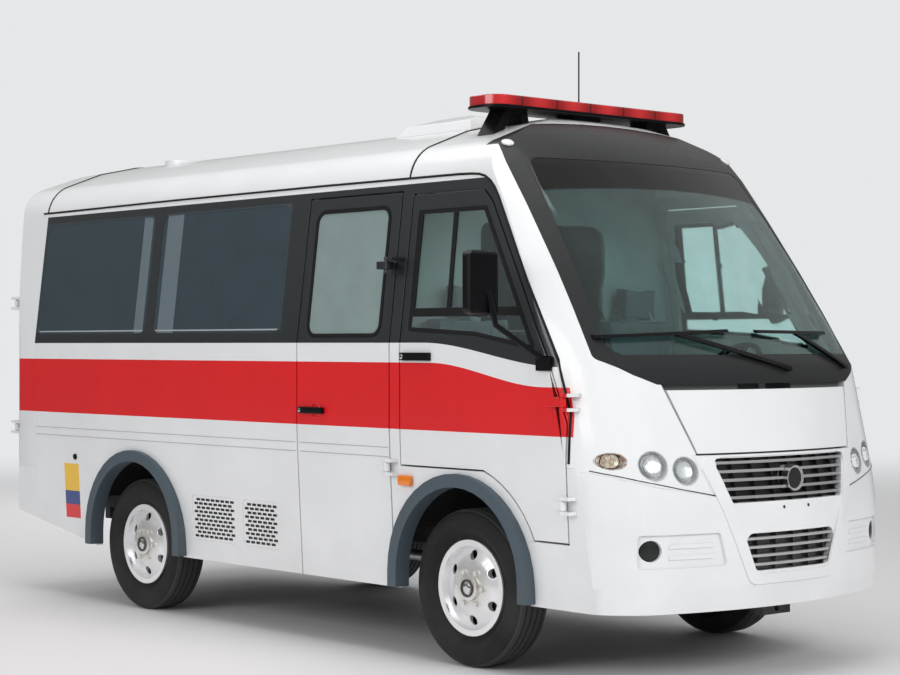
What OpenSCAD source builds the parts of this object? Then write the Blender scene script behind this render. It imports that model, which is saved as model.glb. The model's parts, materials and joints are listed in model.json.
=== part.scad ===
// Van ambulance built on a light bus chassis.
// Sizes in mm. Datum while building: front axle line, on the ground, on the middle plane.
// X forward, Y to the vehicle's left, Z up. The last lines shift the datum to the middle of the box.

/* [Overall] */
// distance between the two axle lines
wheelbase = 2880; // [2820:10:3000]
// nose ahead of the front axle line
front_overhang = 1240; // [1210:10:1280]
// rear wall behind the rear axle line
rear_overhang = 1490; // [1440:10:1560]
// width over the side walls
body_w = 2060; // [2000:10:2120]
// crown of the roof above the ground
roof_z = 2740; // [2720:5:2780]
// lower edge of the skirts above the ground
skirt_z = 345; // [330:5:370]
// thickness of walls, doors and roof
wall = 45; // [38:1:50]
// gap round doors and the bonnet flap
door_gap = 8; // [7:1:10]

/* [Wheels] */
// outside diameter of the tyres
tyre_d = 767; // [745:1:775]
// width of the tyres
tyre_w = 215; // [195:5:225]
// diameter of the rim seat inside the tyre
rim_d = 444; // [430:2:450]
// distance between the tyre middles of one axle
track = 1740; // [1720:5:1760]
// steering pivot inboard of the tyre middle
kingpin_in = 150; // [145:1:160]
// radius of the stub axles
spindle_r = 32; // [28:1:36]
// radial play of pins and stub axles
fit = 0.05; // [0.03:0.01:0.08]

/* [Body side] */
// waist where the side walls begin to lean in
belt_z = 1570; // [1550:5:1590]
// crown of the roof above the gutters
roof_rise = 350; // [340:5:365]
// lean of each side wall from waist to gutter
tumble = 100; // [80:5:115]
// tuck of each skirt below the waist
tuck = 40; // [20:5:50]
// lower edge of the side windows
window_z0 = 1630; // [1610:5:1650]
// upper edge of the side windows below the gutters
window_drop = 75; // [65:5:100]
// radius of the body cut-out round each wheel
arch_r = 470; // [465:1:480]
// height of the arch middle above the ground
arch_z = 435; // [425:5:445]
// width of the rubber flare round each wheel
flare_w = 66; // [50:2:72]

/* [Roof gear] */
// length of the beacon bar
bar_l = 1460; // [1300:10:1500]
// depth of the beacon bar
bar_w = 270; // [240:10:290]
// height of the antenna whip
whip_h = 400; // [300:10:500]

/* [Mounts] */
// bore of the front tow eye
eye_d = 30; // [24:1:36]
// bore of the rear tow pin
pin_d = 32; // [24:1:36]

/* [Hidden] */
$fn = 48;

// derived positions
half_w = body_w / 2;
gutter_z = roof_z - roof_rise;
window_z1 = gutter_z - window_drop;
over_roof = roof_z + 400;
rear_x = -wheelbase - rear_overhang;
hinge_eye_r = 15;
rear_hinge_out = 46;
shift_x = (rear_x - rear_hinge_out - hinge_eye_r + front_overhang) / 2;
axle_z = tyre_d / 2;
far = 9000;

// front shape: middle line profile and plan
surround_out = 8;
nose_x = front_overhang - surround_out;
nose_z = 800;
nose_break = [22, 140];
cowl_x = 1083;
cowl_z = 1460;
// the windscreen leans back over this run and bends in a few equal steps
screen_run = 724.5;
screen_bend = 1.5;
screen_n = 4;
brow_share = 0.2336;
header_z = roof_z - brow_share * (roof_z - cowl_z);
screen_lean = atan2(screen_run, header_z - cowl_z);
screen_turns = [for (i = [0 : screen_n - 1]) screen_bend * (i - (screen_n - 1) / 2)];
screen_rakes = [for (turned = screen_turns) screen_lean + turned];
screen_step = norm([screen_run, header_z - cowl_z]) / total([for (turned = screen_turns) cos(turned)]);
front_arc_r = 2300;
corner_r = 410;
roof_edge_r = 220;
rear_corner_r = 200;
rear_top_r = 280;

// panel seams along the side
roof_seam_x = -470;
rear_seam_x = rear_x + 340;
bumper_seam_z = 1000;
pillar_foot_z = 1490;
pillar_rise = gutter_z - pillar_foot_z;
// front pillar seam as [x, share of the pillar's rise]
pillar_table = [[668, 0], [510, 0.311], [200, 0.878], [120, 0.972], [30, 1]];
pillar_seam = [for (p = pillar_table) [p[0], pillar_foot_z + p[1] * pillar_rise]];

// doors
cab_rear_x = -430;
cab_front_x = 735;
cab_low_z = 966;
cab_foot_z = 656;
cab_top_z = gutter_z - 80;
cab_arc_r = 560;
cab_axis = [cab_front_x + 12, half_w + 24];
side_door_x = [-1280, -520];
side_door_top = gutter_z - 60;
side_axis = [side_door_x[1] + 16, half_w + 24];
rear_door_y = 900;
rear_door_z = [800, gutter_z - 10];
rear_axis = [rear_x - rear_hinge_out, rear_door_y + 36];
hinge_pin_r = 7;
hinge_eye_h = 40;
hinge_ear_h = 16;
hinge_play = 5;

// small helpers
function unit(v) = v / norm(v);
function turn(v) = [v[1], -v[0]];
function grow(p, g) = [for (i = [0 : len(p) - 1])
    let (n = len(p), a = p[(i + n - 1) % n], b = p[i], c = p[(i + 1) % n])
    let (n1 = turn(unit(b - a)), n2 = turn(unit(c - b)))
    b + (n1 + n2) * g / (1 + n1 * n2)];
function corner(a, b, c, r, steps) =
    let (u = unit(a - b), v = unit(c - b), h = acos(u * v) / 2)
    let (m = b + unit(u + v) * r / sin(h), s = b + u * r / tan(h) - m, e = b + v * r / tan(h) - m)
    let (t0 = atan2(s[1], s[0]), t1 = atan2(e[1], e[0]))
    let (dt = t1 - t0 > 180 ? t1 - t0 - 360 : t1 - t0 < -180 ? t1 - t0 + 360 : t1 - t0)
    [for (k = [0 : steps]) m + r * [cos(t0 + dt * k / steps), sin(t0 + dt * k / steps)]];
function rounded(p, r, steps = 5) = [for (i = [0 : len(p) - 1])
    each corner(p[(i + len(p) - 1) % len(p)], p[i], p[(i + 1) % len(p)], r, steps)];
function box_pts(x0, x1, z0, z1) = [[x0, z0], [x1, z0], [x1, z1], [x0, z1]];
function arc_pts(c, r, t0, t1, steps) = [for (k = [0 : steps])
    c + r * [cos(t0 + (t1 - t0) * k / steps), sin(t0 + (t1 - t0) * k / steps)]];

// body section across the vehicle, inset by t
lean = atan(tumble / (gutter_z - belt_z));
edge_y = half_w - tumble - roof_edge_r * cos(lean);
edge_z = gutter_z - roof_edge_r * sin(lean);
edge_drop = edge_z - roof_z;
crown_r = (pow(roof_edge_r, 2) - pow(edge_y, 2) - pow(edge_drop, 2)) / (2 * (edge_drop + roof_edge_r));
crown_z = roof_z - crown_r;
crown_angle = atan2(edge_z - crown_z, edge_y);
knee_z = 1000;
knee_in = 6;
skirt_slope = (tuck - knee_in) / (knee_z - skirt_z);
function below(t) = t > 0 ? 200 : 0;
function half_section(t) = concat(
    [[half_w - tuck - t - skirt_slope * below(t), skirt_z - below(t)], [half_w - knee_in - t, knee_z],
     [half_w - t, knee_z + 150], [half_w - t, belt_z]],
    arc_pts([edge_y, edge_z], roof_edge_r - t, lean, crown_angle, 9),
    [for (k = [1 : 3]) [0, crown_z] + (crown_r - t)
        * [cos(crown_angle + (90 - crown_angle) * k / 3), sin(crown_angle + (90 - crown_angle) * k / 3)]]);
function total(list, i = 0) = i == len(list) ? 0 : list[i] + total(list, i + 1);
function flip(p) = [for (i = [len(p) - 1 : -1 : 0]) [-p[i][0], p[i][1]]];
function section(t) = concat(half_section(t),
    flip([for (i = [0 : len(half_section(t)) - 2]) half_section(t)[i]]));

// plan outlines, x measured from the apex
plan_half = asin((half_w - corner_r) / (front_arc_r - corner_r));
corner_x = (front_arc_r - corner_r) * cos(plan_half) - front_arc_r;
function plan_half_pts(t) = concat(
    arc_pts([-front_arc_r, 0], front_arc_r - t, 0, plan_half, 4),
    [for (k = [1 : 9]) [corner_x, half_w - corner_r] + (corner_r - t)
        * [cos(plan_half + (90 - plan_half) * k / 9), sin(plan_half + (90 - plan_half) * k / 9)]]);
function plan_front(t) = let (h = plan_half_pts(t), n = len(h))
    concat([for (i = [n - 1 : -1 : 1]) [h[i][0], -h[i][1]]], h);
function plan_rear_half(t) = arc_pts([rear_corner_r, half_w - rear_corner_r], rear_corner_r - t, 180, 90, 7);
function plan_rear(t) = let (h = plan_rear_half(t), n = len(h))
    concat([for (i = [n - 1 : -1 : 0]) h[i]], [for (p = h) [p[0], -p[1]]]);

// middle line profiles as [x, z]
function screen_pt(i) = i == 0 ? [cowl_x, cowl_z]
    : screen_pt(i - 1) + screen_step * [-sin(screen_rakes[i - 1]), cos(screen_rakes[i - 1])];
header = screen_pt(len(screen_rakes));
header_rake = screen_rakes[len(screen_rakes) - 1] + 1;
brow_r = (roof_z - header[1]) / (1 - sin(header_rake));
brow = header - brow_r * [cos(header_rake), sin(header_rake)];
front_line = concat(
    [[nose_x - 14, skirt_z], [nose_x, skirt_z + 110], [nose_x, nose_z],
        [nose_x, nose_z] + [-nose_break[0], nose_break[1]]],
    [for (i = [0 : len(screen_rakes)]) screen_pt(i)],
    [for (k = [1 : 6]) brow + brow_r * [cos(header_rake + (90 - header_rake) * k / 6),
        sin(header_rake + (90 - header_rake) * k / 6)]]);
rear_line = concat([[rear_x, skirt_z]],
    arc_pts([rear_x + rear_top_r, roof_z - rear_top_r], rear_top_r, 180, 90, 6));

// plan corners of every other stretch of a profile lie this share further out,
// so that no four faces meet in one point
corner_spread = 0.001;
function spread(i) = 1 + corner_spread * (i % 2);

// slab of the plan outline swept along one stretch of a profile, side 1 for the front and -1 for the rear
module sweep_prism(a, b, pts, t, side, wide) {
    tilt = atan2(b[0] - a[0], b[1] - a[1]);
    outline = [for (p = pts) [p[0] * cos(tilt) - side * t * (1 - cos(tilt)), p[1] * wide]];
    last = outline[len(outline) - 1];
    translate([a[0], 0, a[1]])
        rotate([0, tilt, 0])
        translate([0, 0, -far])
        linear_extrude(2 * far)
        polygon(concat([[-side * far, outline[0][1]]], outline, [[-side * far, last[1]]]));
}

module along_x(pts, x0, x1) {
    translate([x0, 0, 0])
        rotate([90, 0, 90])
        linear_extrude(x1 - x0)
        polygon(pts);
}

// outline in x and z cut through the right side from y0 outwards
module right_cut(pts, y0 = 300, y1 = 1300) {
    translate([0, -y0, 0])
        rotate([90, 0, 0])
        linear_extrude(y1 - y0)
        polygon(pts);
}

module both_cut(pts, y1 = 1300) {
    translate([0, y1, 0])
        rotate([90, 0, 0])
        linear_extrude(2 * y1)
        polygon(pts);
}

module to_left() {
    mirror([0, 1, 0])
        children();
}

// stretches of the two profiles that bound a zone, as [first front, last front, last rear]
WHOLE = [0, 13, 6];
NOSE = [0, 13, 0];
LOW = [0, 4, 0];
CAB = [0, 7, 0];
MID = [1, 1, 0];
TAIL = [1, 1, 6];

module envelope(zone, t) {
    intersection() {
        along_x(section(t), rear_x - 40, nose_x + 40);
        intersection_for(i = [zone[0] : zone[1]])
            sweep_prism(front_line[i], front_line[i + 1], plan_front(t), t, 1, spread(i));
        intersection_for(i = [0 : zone[2]])
            sweep_prism(rear_line[i], rear_line[i + 1], plan_rear(t), t, -1, spread(i));
    }
}

module shell(zone, outer = 0, inner = wall) {
    difference() {
        envelope(zone, outer);
        envelope(zone, inner);
    }
}

// side outlines
function cab_door_pts() = concat(
    [[cab_rear_x, cab_low_z]],
    arc_pts([0, arch_z], cab_arc_r, asin((cab_low_z - arch_z) / cab_arc_r),
        asin((cab_foot_z - arch_z) / cab_arc_r), 7),
    [[cab_front_x, cab_foot_z], [cab_front_x, 1200], [620, pillar_foot_z],
     [460, pillar_foot_z + pillar_table[1][1] * pillar_rise],
     [160, cab_top_z - 60], [95, cab_top_z],
     [cab_rear_x, cab_top_z]]);
function side_door_pts() = box_pts(side_door_x[0], side_door_x[1], skirt_z - 40, side_door_top);
function rear_door_pts() = box_pts(door_gap, rear_door_y, rear_door_z[0], rear_door_z[1]);
cab_seam_x = cab_front_x + door_gap;
cap_foot_z = 1230;
cap_seam = concat([[cab_seam_x, cap_foot_z]], pillar_seam);
cab_reach = cab_axis[0] - cab_rear_x;
side_reach = side_axis[0] - side_door_x[0];

cab_window_top = gutter_z - 158;
function cab_window_pts() = rounded([[-376, window_z0], [120, window_z0 - 25], [550, window_z0 - 95],
    [122, cab_window_top], [-376, cab_window_top]], 18, 4);
function side_window_pts() = rounded(box_pts(side_door_x[0] + 70, side_door_x[1] - 70,
    window_z0 - 30, gutter_z - 120), 70, 6);
function rear_window_pts() = rounded(box_pts(130, 800, window_z0 - 70, gutter_z - 130), 70, 6);
pillar_x = [rear_seam_x + 20, side_door_x[0] - 170];
pillar_gap = 88;
pane_w = (pillar_x[1] - pillar_x[0] - pillar_gap) / 2;
function pane_pts(i) = rounded(box_pts(pillar_x[0] + i * (pane_w + pillar_gap),
    pillar_x[0] + i * (pane_w + pillar_gap) + pane_w, window_z0, window_z1), 60, 6);
// two vents between the rear arch and the side door
vent_zone = [-wheelbase + arch_r + 110, side_door_x[0] - 190];
vent_gap = 60;
vent_share = 0.56;
vent_split = vent_zone[0] + vent_share * (vent_zone[1] - vent_zone[0] - vent_gap);
vents = [[vent_zone[0], vent_split], [vent_split + vent_gap, vent_zone[1]]];
vent_z = [457, 712];
function vent_pts(i) = rounded(box_pts(vents[i][0], vents[i][1], vent_z[0], vent_z[1]), 25, 4);
axle_xs = [0, -wheelbase];
function arch_pts(x, r) = concat([[x - r, -50], [x + r, -50]], arc_pts([x, arch_z], r, 0, 180, 20));

// rear skirt rises towards the rear
function rear_rise_pts() = [[-wheelbase - 470, skirt_z], [rear_x - 50, skirt_z + 185], [rear_x - 50, 0],
    [-wheelbase - 470, 0]];

// front region outlines
bumper_side = [[480, 0], [480, cab_foot_z - door_gap], [cab_seam_x, cab_foot_z - door_gap],
    [cab_seam_x, 1300], [1500, 1300], [1500, 0]];
// nose surround as [half width, height] at its foot and top
surround_low = [300, 455];
surround_top = [574, 1056];
surround_band = [42, 48];
function both_sides(p) = concat(p, flip(p));
surround_face = rounded(both_sides([surround_low, surround_top]), 60, 5);
surround_hole = rounded(both_sides([surround_low + [-surround_band[0], surround_band[1]],
    surround_top - [2 * surround_band[0], 10]]), 45, 5);
// seam between the bumper and the front cap, from the side to the surround
bumper_seam = [[1010, 985], [780, 918], [496, 872], [surround_top[0] + 4, surround_top[1]]];
bumper_face = both_sides(concat([[1300, 0], [1300, bumper_seam_z]], [[1010, bumper_seam_z]], bumper_seam));
flap_top_z = 1380;
flap_rise_gap = 26;
flap_half_w = [548, 650];
flap_face = both_sides([[flap_half_w[0], 1064], [flap_half_w[1], flap_top_z - flap_rise_gap]]);
flap_hole = [[-556, 1056], [556, 1056], [672, flap_top_z], [-672, flap_top_z]];
flap_t = 18;
flap_axis = [996, 1438];
flap_pin_r = 6;
flap_arm_y = [105, 135];
flap_arm_t = 20;
flap_neck = [-75, -155];
screen_top_z = header_z + 29;
screen_face = rounded([[-872, 1515], [872, 1515], [765, screen_top_z], [-765, screen_top_z]], 70, 5);
frame_face = rounded(both_sides([[690, flap_top_z], [800, 1425], [925, 1500], [865, header_z],
    [825, roof_z - 120], [825, over_roof]]), 30, 4);
frame_back_x = 0;
grille_up = rounded([[-396, 835], [396, 835], [474, 1040], [-474, 1040]], 14, 4);
grille_low = rounded([[-264, 518], [264, 518], [336, 691], [-336, 691]], 40, 4);
screen_t = 6;
seat = 0.3;

module screen_zone(pts) {
    along_x(pts, frame_back_x, 1400);
}

module cap_zone() {
    both_cut(concat(cap_seam, [[roof_seam_x, gutter_z], [roof_seam_x, over_roof], [1500, over_roof],
        [1500, 800], [cab_seam_x, 800]]));
}

module bumper_zone() {
    intersection() {
        both_cut(bumper_side);
        along_x(bumper_face, 300, 1500);
    }
}

module cylinder_z(p, r) {
    translate([p[0], p[1], -100])
        cylinder(r = r, h = 3300, $fn = 400);
}

hinge_ear_z = hinge_eye_h / 2 + hinge_play;
module hinge_fixed(p, z) {
    translate([p[0], p[1], z - hinge_ear_z - hinge_ear_h])
        cylinder(r = hinge_pin_r, h = 2 * (hinge_ear_z + hinge_ear_h));
    for (s = [-1, 1])
        translate([p[0], p[1], z + s * (hinge_ear_z + hinge_ear_h / 2) - hinge_ear_h / 2])
            cylinder(r = hinge_eye_r, h = hinge_ear_h);
}

// hinges as [height, leaf length]
cab_hinges = [[830, 70], [1300, 110]];
side_hinges = [[950, 70], [gutter_z - 430, 70]];
rear_hinge_z = [1030, gutter_z - 560];

module door_gap_cut(pts, axis, reach) {
    intersection() {
        right_cut(grow(pts, door_gap));
        cylinder_z([axis[0], -axis[1]], reach + door_gap);
    }
}

module side_openings() {
    for (x = axle_xs)
        both_cut(arch_pts(x, arch_r));
    both_cut(rear_rise_pts());
    bumper_zone();
}

module right_wall_blank() {
    difference() {
        intersection() {
            shell(CAB);
            right_cut(concat([[rear_seam_x, 0], [cab_seam_x, 0]], cap_seam, [[rear_seam_x, gutter_z]]));
        }
        side_openings();
        door_gap_cut(cab_door_pts(), cab_axis, cab_reach);
        for (i = [0, 1])
            right_cut(pane_pts(i));
    }
}

module side_wall_right() {
    color("white")
        difference() {
            right_wall_blank();
            door_gap_cut(side_door_pts(), side_axis, side_reach);
            for (i = [0, 1])
                right_cut(vent_pts(i));
        }
}

module side_wall_left() {
    color("white")
        to_left()
        right_wall_blank();
}

module roof_panel() {
    color("white")
        intersection() {
            shell(WHOLE);
            both_cut(box_pts(rear_seam_x, roof_seam_x, gutter_z, over_roof));
        }
}

module front_cap() {
    color("white")
        difference() {
            intersection() {
                shell(NOSE);
                cap_zone();
            }
            bumper_zone();
            screen_zone(frame_face);
            along_x(flap_hole, 600, 1400);
            lamp_holes(0);
        }
}

module windscreen_frame() {
    color([0.15, 0.16, 0.17])
        difference() {
            intersection() {
                shell(NOSE);
                cap_zone();
                screen_zone(frame_face);
            }
            screen_zone(screen_face);
            along_x(flap_hole, 600, 1400);
        }
}

module windscreen() {
    color([0.45, 0.6, 0.58, 0.5])
        intersection() {
            shell(NOSE, 2, 2 + screen_t);
            screen_zone(grow(screen_face, -seat));
        }
}

// goose-neck arm of the bonnet flap, outline from its pin in x and z
neck_pts = [[10, -10], [10, 10], [flap_neck[0], 10], [flap_neck[0], flap_neck[1]], [150, flap_neck[1]],
    [150, flap_neck[1] + flap_arm_t], [flap_neck[0] + flap_arm_t, flap_neck[1] + flap_arm_t],
    [flap_neck[0] + flap_arm_t, -10]];
module flap_arm() {
    difference() {
        union() {
            right_cut([for (p = neck_pts) p + flap_axis], flap_arm_y[0], flap_arm_y[1]);
            right_cut(arc_pts(flap_axis, 12, 0, 337.5, 15), flap_arm_y[0], flap_arm_y[1]);
        }
        translate([flap_axis[0], 0, flap_axis[1]])
            rotate([90, 0, 0])
            cylinder(r = flap_pin_r + fit, h = 1000, center = true);
    }
}

module bonnet() {
    color("white")
        union() {
            intersection() {
                shell(LOW, 0, flap_t);
                along_x(flap_face, 600, 1400);
            }
            intersection() {
                envelope(LOW, flap_t - 1);
                for (s = [0, 1])
                    mirror([0, s, 0])
                    flap_arm();
            }
        }
}

// pin and lugs inside the cowl that carry one arm
lug_t = 12;
module flap_lugs() {
    translate([flap_axis[0], -flap_arm_y[0] + hinge_play + lug_t, flap_axis[1]])
        rotate([90, 0, 0])
        cylinder(r = flap_pin_r, h = flap_arm_y[1] - flap_arm_y[0] + 2 * (hinge_play + lug_t));
    intersection() {
        envelope(NOSE, wall);
        for (y = [flap_arm_y[0] - hinge_play - lug_t, flap_arm_y[1] + hinge_play])
            right_cut(box_pts(flap_axis[0] - 12, flap_axis[0] + 100, flap_axis[1] - 10, flap_axis[1] + 28),
                y, y + lug_t);
    }
}

module bumper_front() {
    color("white")
        difference() {
            intersection() {
                union() {
                    shell(LOW);
                    nose_surround();
                }
                bumper_zone();
            }
            for (x = axle_xs)
                both_cut(arch_pts(x, arch_r));
            along_x(grille_up, 600, 1400);
            along_x(grille_low, 600, 1400);
            fog_holes(0);
            difference() {
                intersection() {
                    shell(LOW, -1, fog_pocket_in);
                    both_faces(fog_pocket);
                }
                intersection() {
                    shell(LOW, fog_rib_in, wall);
                    for (z = fog_rib_z)
                        both_faces(box_pts(fog_rib_y[0], fog_rib_y[1], z, z + fog_rib_h));
                }
            }
        }
}

// raised frame round the grilles and the plate
module nose_surround() {
    intersection() {
        shell(LOW, -surround_out, 4);
        difference() {
            along_x(surround_face, 600, 1400);
            along_x(surround_hole, 500, 1500);
        }
    }
}

// outline in y and z on both sides of the nose
module both_faces(pts) {
    for (s = [0, 1])
        mirror([0, s, 0])
        along_x(pts, 600, 1400);
}

// round lamps at the front as [y, z, radius of the bowl, radius of the lens]
lamp_table = [[778, 1014, 68, 48], [626, 988, 66, 46]];
// oval turn lamp as [y, z, half width, half height]
turn_lamp = [930, 1036, 50, 39];
// room between the turn lamps and the seam of the cab doors
lamp_room = 30;
bowl_t = 4;
bowl_in = 34;
lens_in = 12;
fog_at = [808, 632];
fog_r = 48;
fog_in = 28;
fog_pocket = rounded([[430, 552], [872, 552], [872, 704], [470, 704]], 18, 3);
fog_pocket_in = 16;
fog_rib_in = 8;
fog_rib_y = [500, 730];
fog_rib_h = 20;
fog_rib_z = [590, 640];
function oval_pts(c, g) = [for (k = [0 : 23])
    [c[0] + (c[2] + g) * cos(15 * k), c[1] + (c[3] + g) * sin(15 * k)]];

module nose_cylinder(y, z, r) {
    for (s = [-1, 1])
        translate([600, s * y, z])
            rotate([0, 90, 0])
            cylinder(r = r, h = 800);
}

module lamp_holes(g) {
    for (l = lamp_table)
        nose_cylinder(l[0], l[1], l[2] + g);
    both_faces(oval_pts(turn_lamp, g));
}

module fog_holes(g) {
    nose_cylinder(fog_at[0], fog_at[1], fog_r + g);
}

module headlamps() {
    color([0.85, 0.87, 0.88])
        union() {
            difference() {
                intersection() {
                    shell(LOW, 1, wall);
                    lamp_holes(-seat);
                    along_x(box_pts(-half_w, half_w, 0, gutter_z), cab_seam_x + lamp_room, 1400);
                }
                intersection() {
                    shell(LOW, 0, bowl_in);
                    difference() {
                        lamp_holes(-bowl_t);
                        for (l = lamp_table)
                            nose_cylinder(l[0], l[1], l[3]);
                        both_faces(oval_pts(turn_lamp, -bowl_t - 6));
                    }
                }
                intersection() {
                    shell(LOW, 0, lens_in);
                    lamp_holes(-bowl_t);
                }
            }
            intersection() {
                shell(LOW, fog_in, wall);
                fog_holes(-seat);
            }
        }
}

// grille slats as [lowest, pitch, count] in z, and the short uprights between them
slats_up = [853, 40, 5];
slats_low = [540, 40, 4];
slat_h = 13;
slat_in = 3;
grille_back = 32;
upright_in = 10;
upright_w = 6;
upright_ys = [-360, -240, -120, 0, 120, 240, 360];
badge_z = 937;
badge_r = 62;
badge_rim = 9;
badge_x = nose_x + 3;

module grille(outline, slats) {
    intersection() {
        shell(LOW, grille_back, wall);
        along_x(outline, 600, 1400);
    }
    intersection() {
        shell(LOW, slat_in, grille_back + 2);
        along_x(outline, 600, 1400);
        for (k = [0 : slats[2] - 1])
            translate([0, 0, slats[0] + k * slats[1]])
            along_x(box_pts(-half_w, half_w, 0, slat_h), 600, 1400);
    }
    intersection() {
        shell(LOW, upright_in, grille_back + 2);
        along_x(outline, 600, 1400);
        for (y = upright_ys)
            along_x(box_pts(y - upright_w / 2, y + upright_w / 2, 0, 2 * slats[0]), 600, 1400);
    }
}

// plain round badge with a raised rim
module badge() {
    translate([badge_x, 0, badge_z])
        rotate([0, -90, 0])
        difference() {
            cylinder(r = badge_r, h = 40);
            translate([0, 0, -1])
                cylinder(r = badge_r - badge_rim, h = 7);
        }
}

module grilles() {
    color([0.3, 0.31, 0.32])
        union() {
            grille(grow(grille_up, -seat), slats_up);
            badge();
            grille(grow(grille_low, -seat), slats_low);
        }
}

module rear_cap() {
    color("white")
        difference() {
            intersection() {
                shell(TAIL);
                both_cut([[rear_x - 50, rear_door_z[0] - door_gap], [rear_seam_x, rear_door_z[0] - door_gap],
                    [rear_seam_x, over_roof], [rear_x - 50, over_roof]]);
            }
            for (s = [0, 1])
                mirror([0, s, 0])
                along_x(grow(box_pts(-50, rear_door_y, rear_door_z[0], rear_door_z[1]), door_gap),
                    rear_x - 100, rear_x + 120);
            tail_holes(0);
        }
}

module bumper_rear() {
    color("white")
        difference() {
            intersection() {
                shell(TAIL);
                both_cut([[rear_x - 50, 0], [rear_seam_x, 0], [rear_seam_x, rear_door_z[0] - door_gap],
                    [rear_x - 50, rear_door_z[0] - door_gap]]);
            }
            both_cut(rear_rise_pts());
        }
}

module tail_holes(g) {
    for (s = [-1, 1])
        along_x([for (p = grow(rounded(box_pts(922, 972, 1150, 1450), 15, 4), g)) [s * p[0], p[1]]],
            rear_x - 100, rear_x + 260);
}

module tail_lamps() {
    color([0.7, 0.08, 0.08])
        intersection() {
            shell(TAIL, 4, wall);
            tail_holes(-seat);
        }
}

module cab_door() {
    difference() {
        union() {
            intersection() {
                shell(CAB);
                right_cut(cab_door_pts());
                cylinder_z([cab_axis[0], -cab_axis[1]], cab_reach);
            }
            difference() {
                for (h = cab_hinges)
                    hinge_leaf_door([cab_axis[0], -cab_axis[1]], h[0], h[1]);
                envelope(CAB, 1);
            }
        }
        for (h = cab_hinges)
            hinge_bore([cab_axis[0], -cab_axis[1]], h[0]);
        right_cut(cab_window_pts());
    }
}

module hinge_bore(p, z) {
    translate([p[0], p[1], z - hinge_eye_h])
        cylinder(r = hinge_pin_r + fit, h = 2 * hinge_eye_h);
}

hinge_leaf_t = 24;
leaf_foot = 45;
leaf_back = 11;
module hinge_leaf_door(p, z, leaf_l) {
    translate([p[0], p[1], z - hinge_eye_h / 2])
        cylinder(r = hinge_eye_r, h = hinge_eye_h);
    translate([p[0] - leaf_l, p[1] - leaf_back, z - hinge_eye_h / 2])
        cube([leaf_l, hinge_leaf_t, hinge_eye_h]);
    translate([p[0] - leaf_l, p[1] - leaf_back, z - hinge_eye_h / 2])
        cube([leaf_foot, half_w, hinge_eye_h]);
}

module door_cab_right() {
    color("white")
        cab_door();
}

module door_cab_left() {
    color("white")
        to_left()
        cab_door();
}

module door_side() {
    color("white")
        difference() {
            union() {
                intersection() {
                    shell(MID);
                    right_cut(side_door_pts());
                    cylinder_z([side_axis[0], -side_axis[1]], side_reach);
                }
                difference() {
                    for (h = side_hinges)
                        hinge_leaf_door([side_axis[0], -side_axis[1]], h[0], h[1]);
                    envelope(MID, 1);
                }
            }
            for (h = side_hinges)
                hinge_bore([side_axis[0], -side_axis[1]], h[0]);
            right_cut(side_window_pts());
        }
}

module rear_door() {
    difference() {
        union() {
            intersection() {
                shell(TAIL);
                along_x([for (p = rear_door_pts()) [-p[0], p[1]]], rear_x - 100, rear_x + 120);
            }
            for (z = rear_hinge_z) {
                translate([rear_axis[0], -rear_axis[1], z - hinge_eye_h / 2])
                    cylinder(r = hinge_eye_r, h = hinge_eye_h);
                translate([rear_axis[0] - leaf_back, -rear_axis[1], z - hinge_eye_h / 2])
                    cube([hinge_leaf_t, 110, hinge_eye_h]);
                translate([rear_axis[0] - leaf_back, -rear_door_y + door_gap, z - hinge_eye_h / 2])
                    cube([rear_hinge_out + leaf_back + 4, 66, hinge_eye_h]);
            }
        }
        for (z = rear_hinge_z)
            hinge_bore([rear_axis[0], -rear_axis[1]], z);
        along_x([for (p = rear_window_pts()) [-p[0], p[1]]], rear_x - 200, rear_x + 200);
    }
}

module door_rear_right() {
    color("white")
        rear_door();
}

module door_rear_left() {
    color("white")
        to_left()
        rear_door();
}

pane_in = 3;
pane_t = 5;
module side_pane(pts) {
    intersection() {
        shell(CAB, pane_in, pane_in + pane_t);
        right_cut(grow(pts, -seat));
    }
}

module glass_cab_right() {
    color([0.35, 0.45, 0.43, 0.5])
        side_pane(cab_window_pts());
}

module glass_cab_left() {
    color([0.35, 0.45, 0.43, 0.5])
        to_left()
        side_pane(cab_window_pts());
}

module glass_side_door() {
    color([0.2, 0.24, 0.25, 0.6])
        side_pane(side_window_pts());
}

module rear_pane() {
    intersection() {
        shell(TAIL, pane_in, pane_in + pane_t);
        along_x([for (p = grow(rear_window_pts(), -seat)) [-p[0], p[1]]], rear_x - 200, rear_x + 200);
    }
}

module glass_rear_right() {
    color([0.2, 0.24, 0.25, 0.6])
        rear_pane();
}

module glass_rear_left() {
    color([0.2, 0.24, 0.25, 0.6])
        to_left()
        rear_pane();
}

module side_panes() {
    for (i = [0, 1])
        side_pane(pane_pts(i));
}

module windows_right() {
    color([0.2, 0.24, 0.25, 0.6])
        side_panes();
}

module windows_left() {
    color([0.2, 0.24, 0.25, 0.6])
        to_left()
        side_panes();
}

// mirror on its arm and the pull handle of a cab door
// mirror heads, the left one set back behind the front pillar
mirror_at = [392, -1235, belt_z + 280];
left_mirror_back = 290;
mirror_size = [72, 190, 300];
mirror_r = [30, 45];
arm_r = 13;
arm_foot = [604, -1000, 1474];
arm_knee = [456, -1196, 1652];
arm_tip_drop = 40;
foot_size = [90, 90, 64];
handle_x = [-414, -193];
handle_z = 1484;
handle_h = 40;
handle_out = 22;

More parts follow.
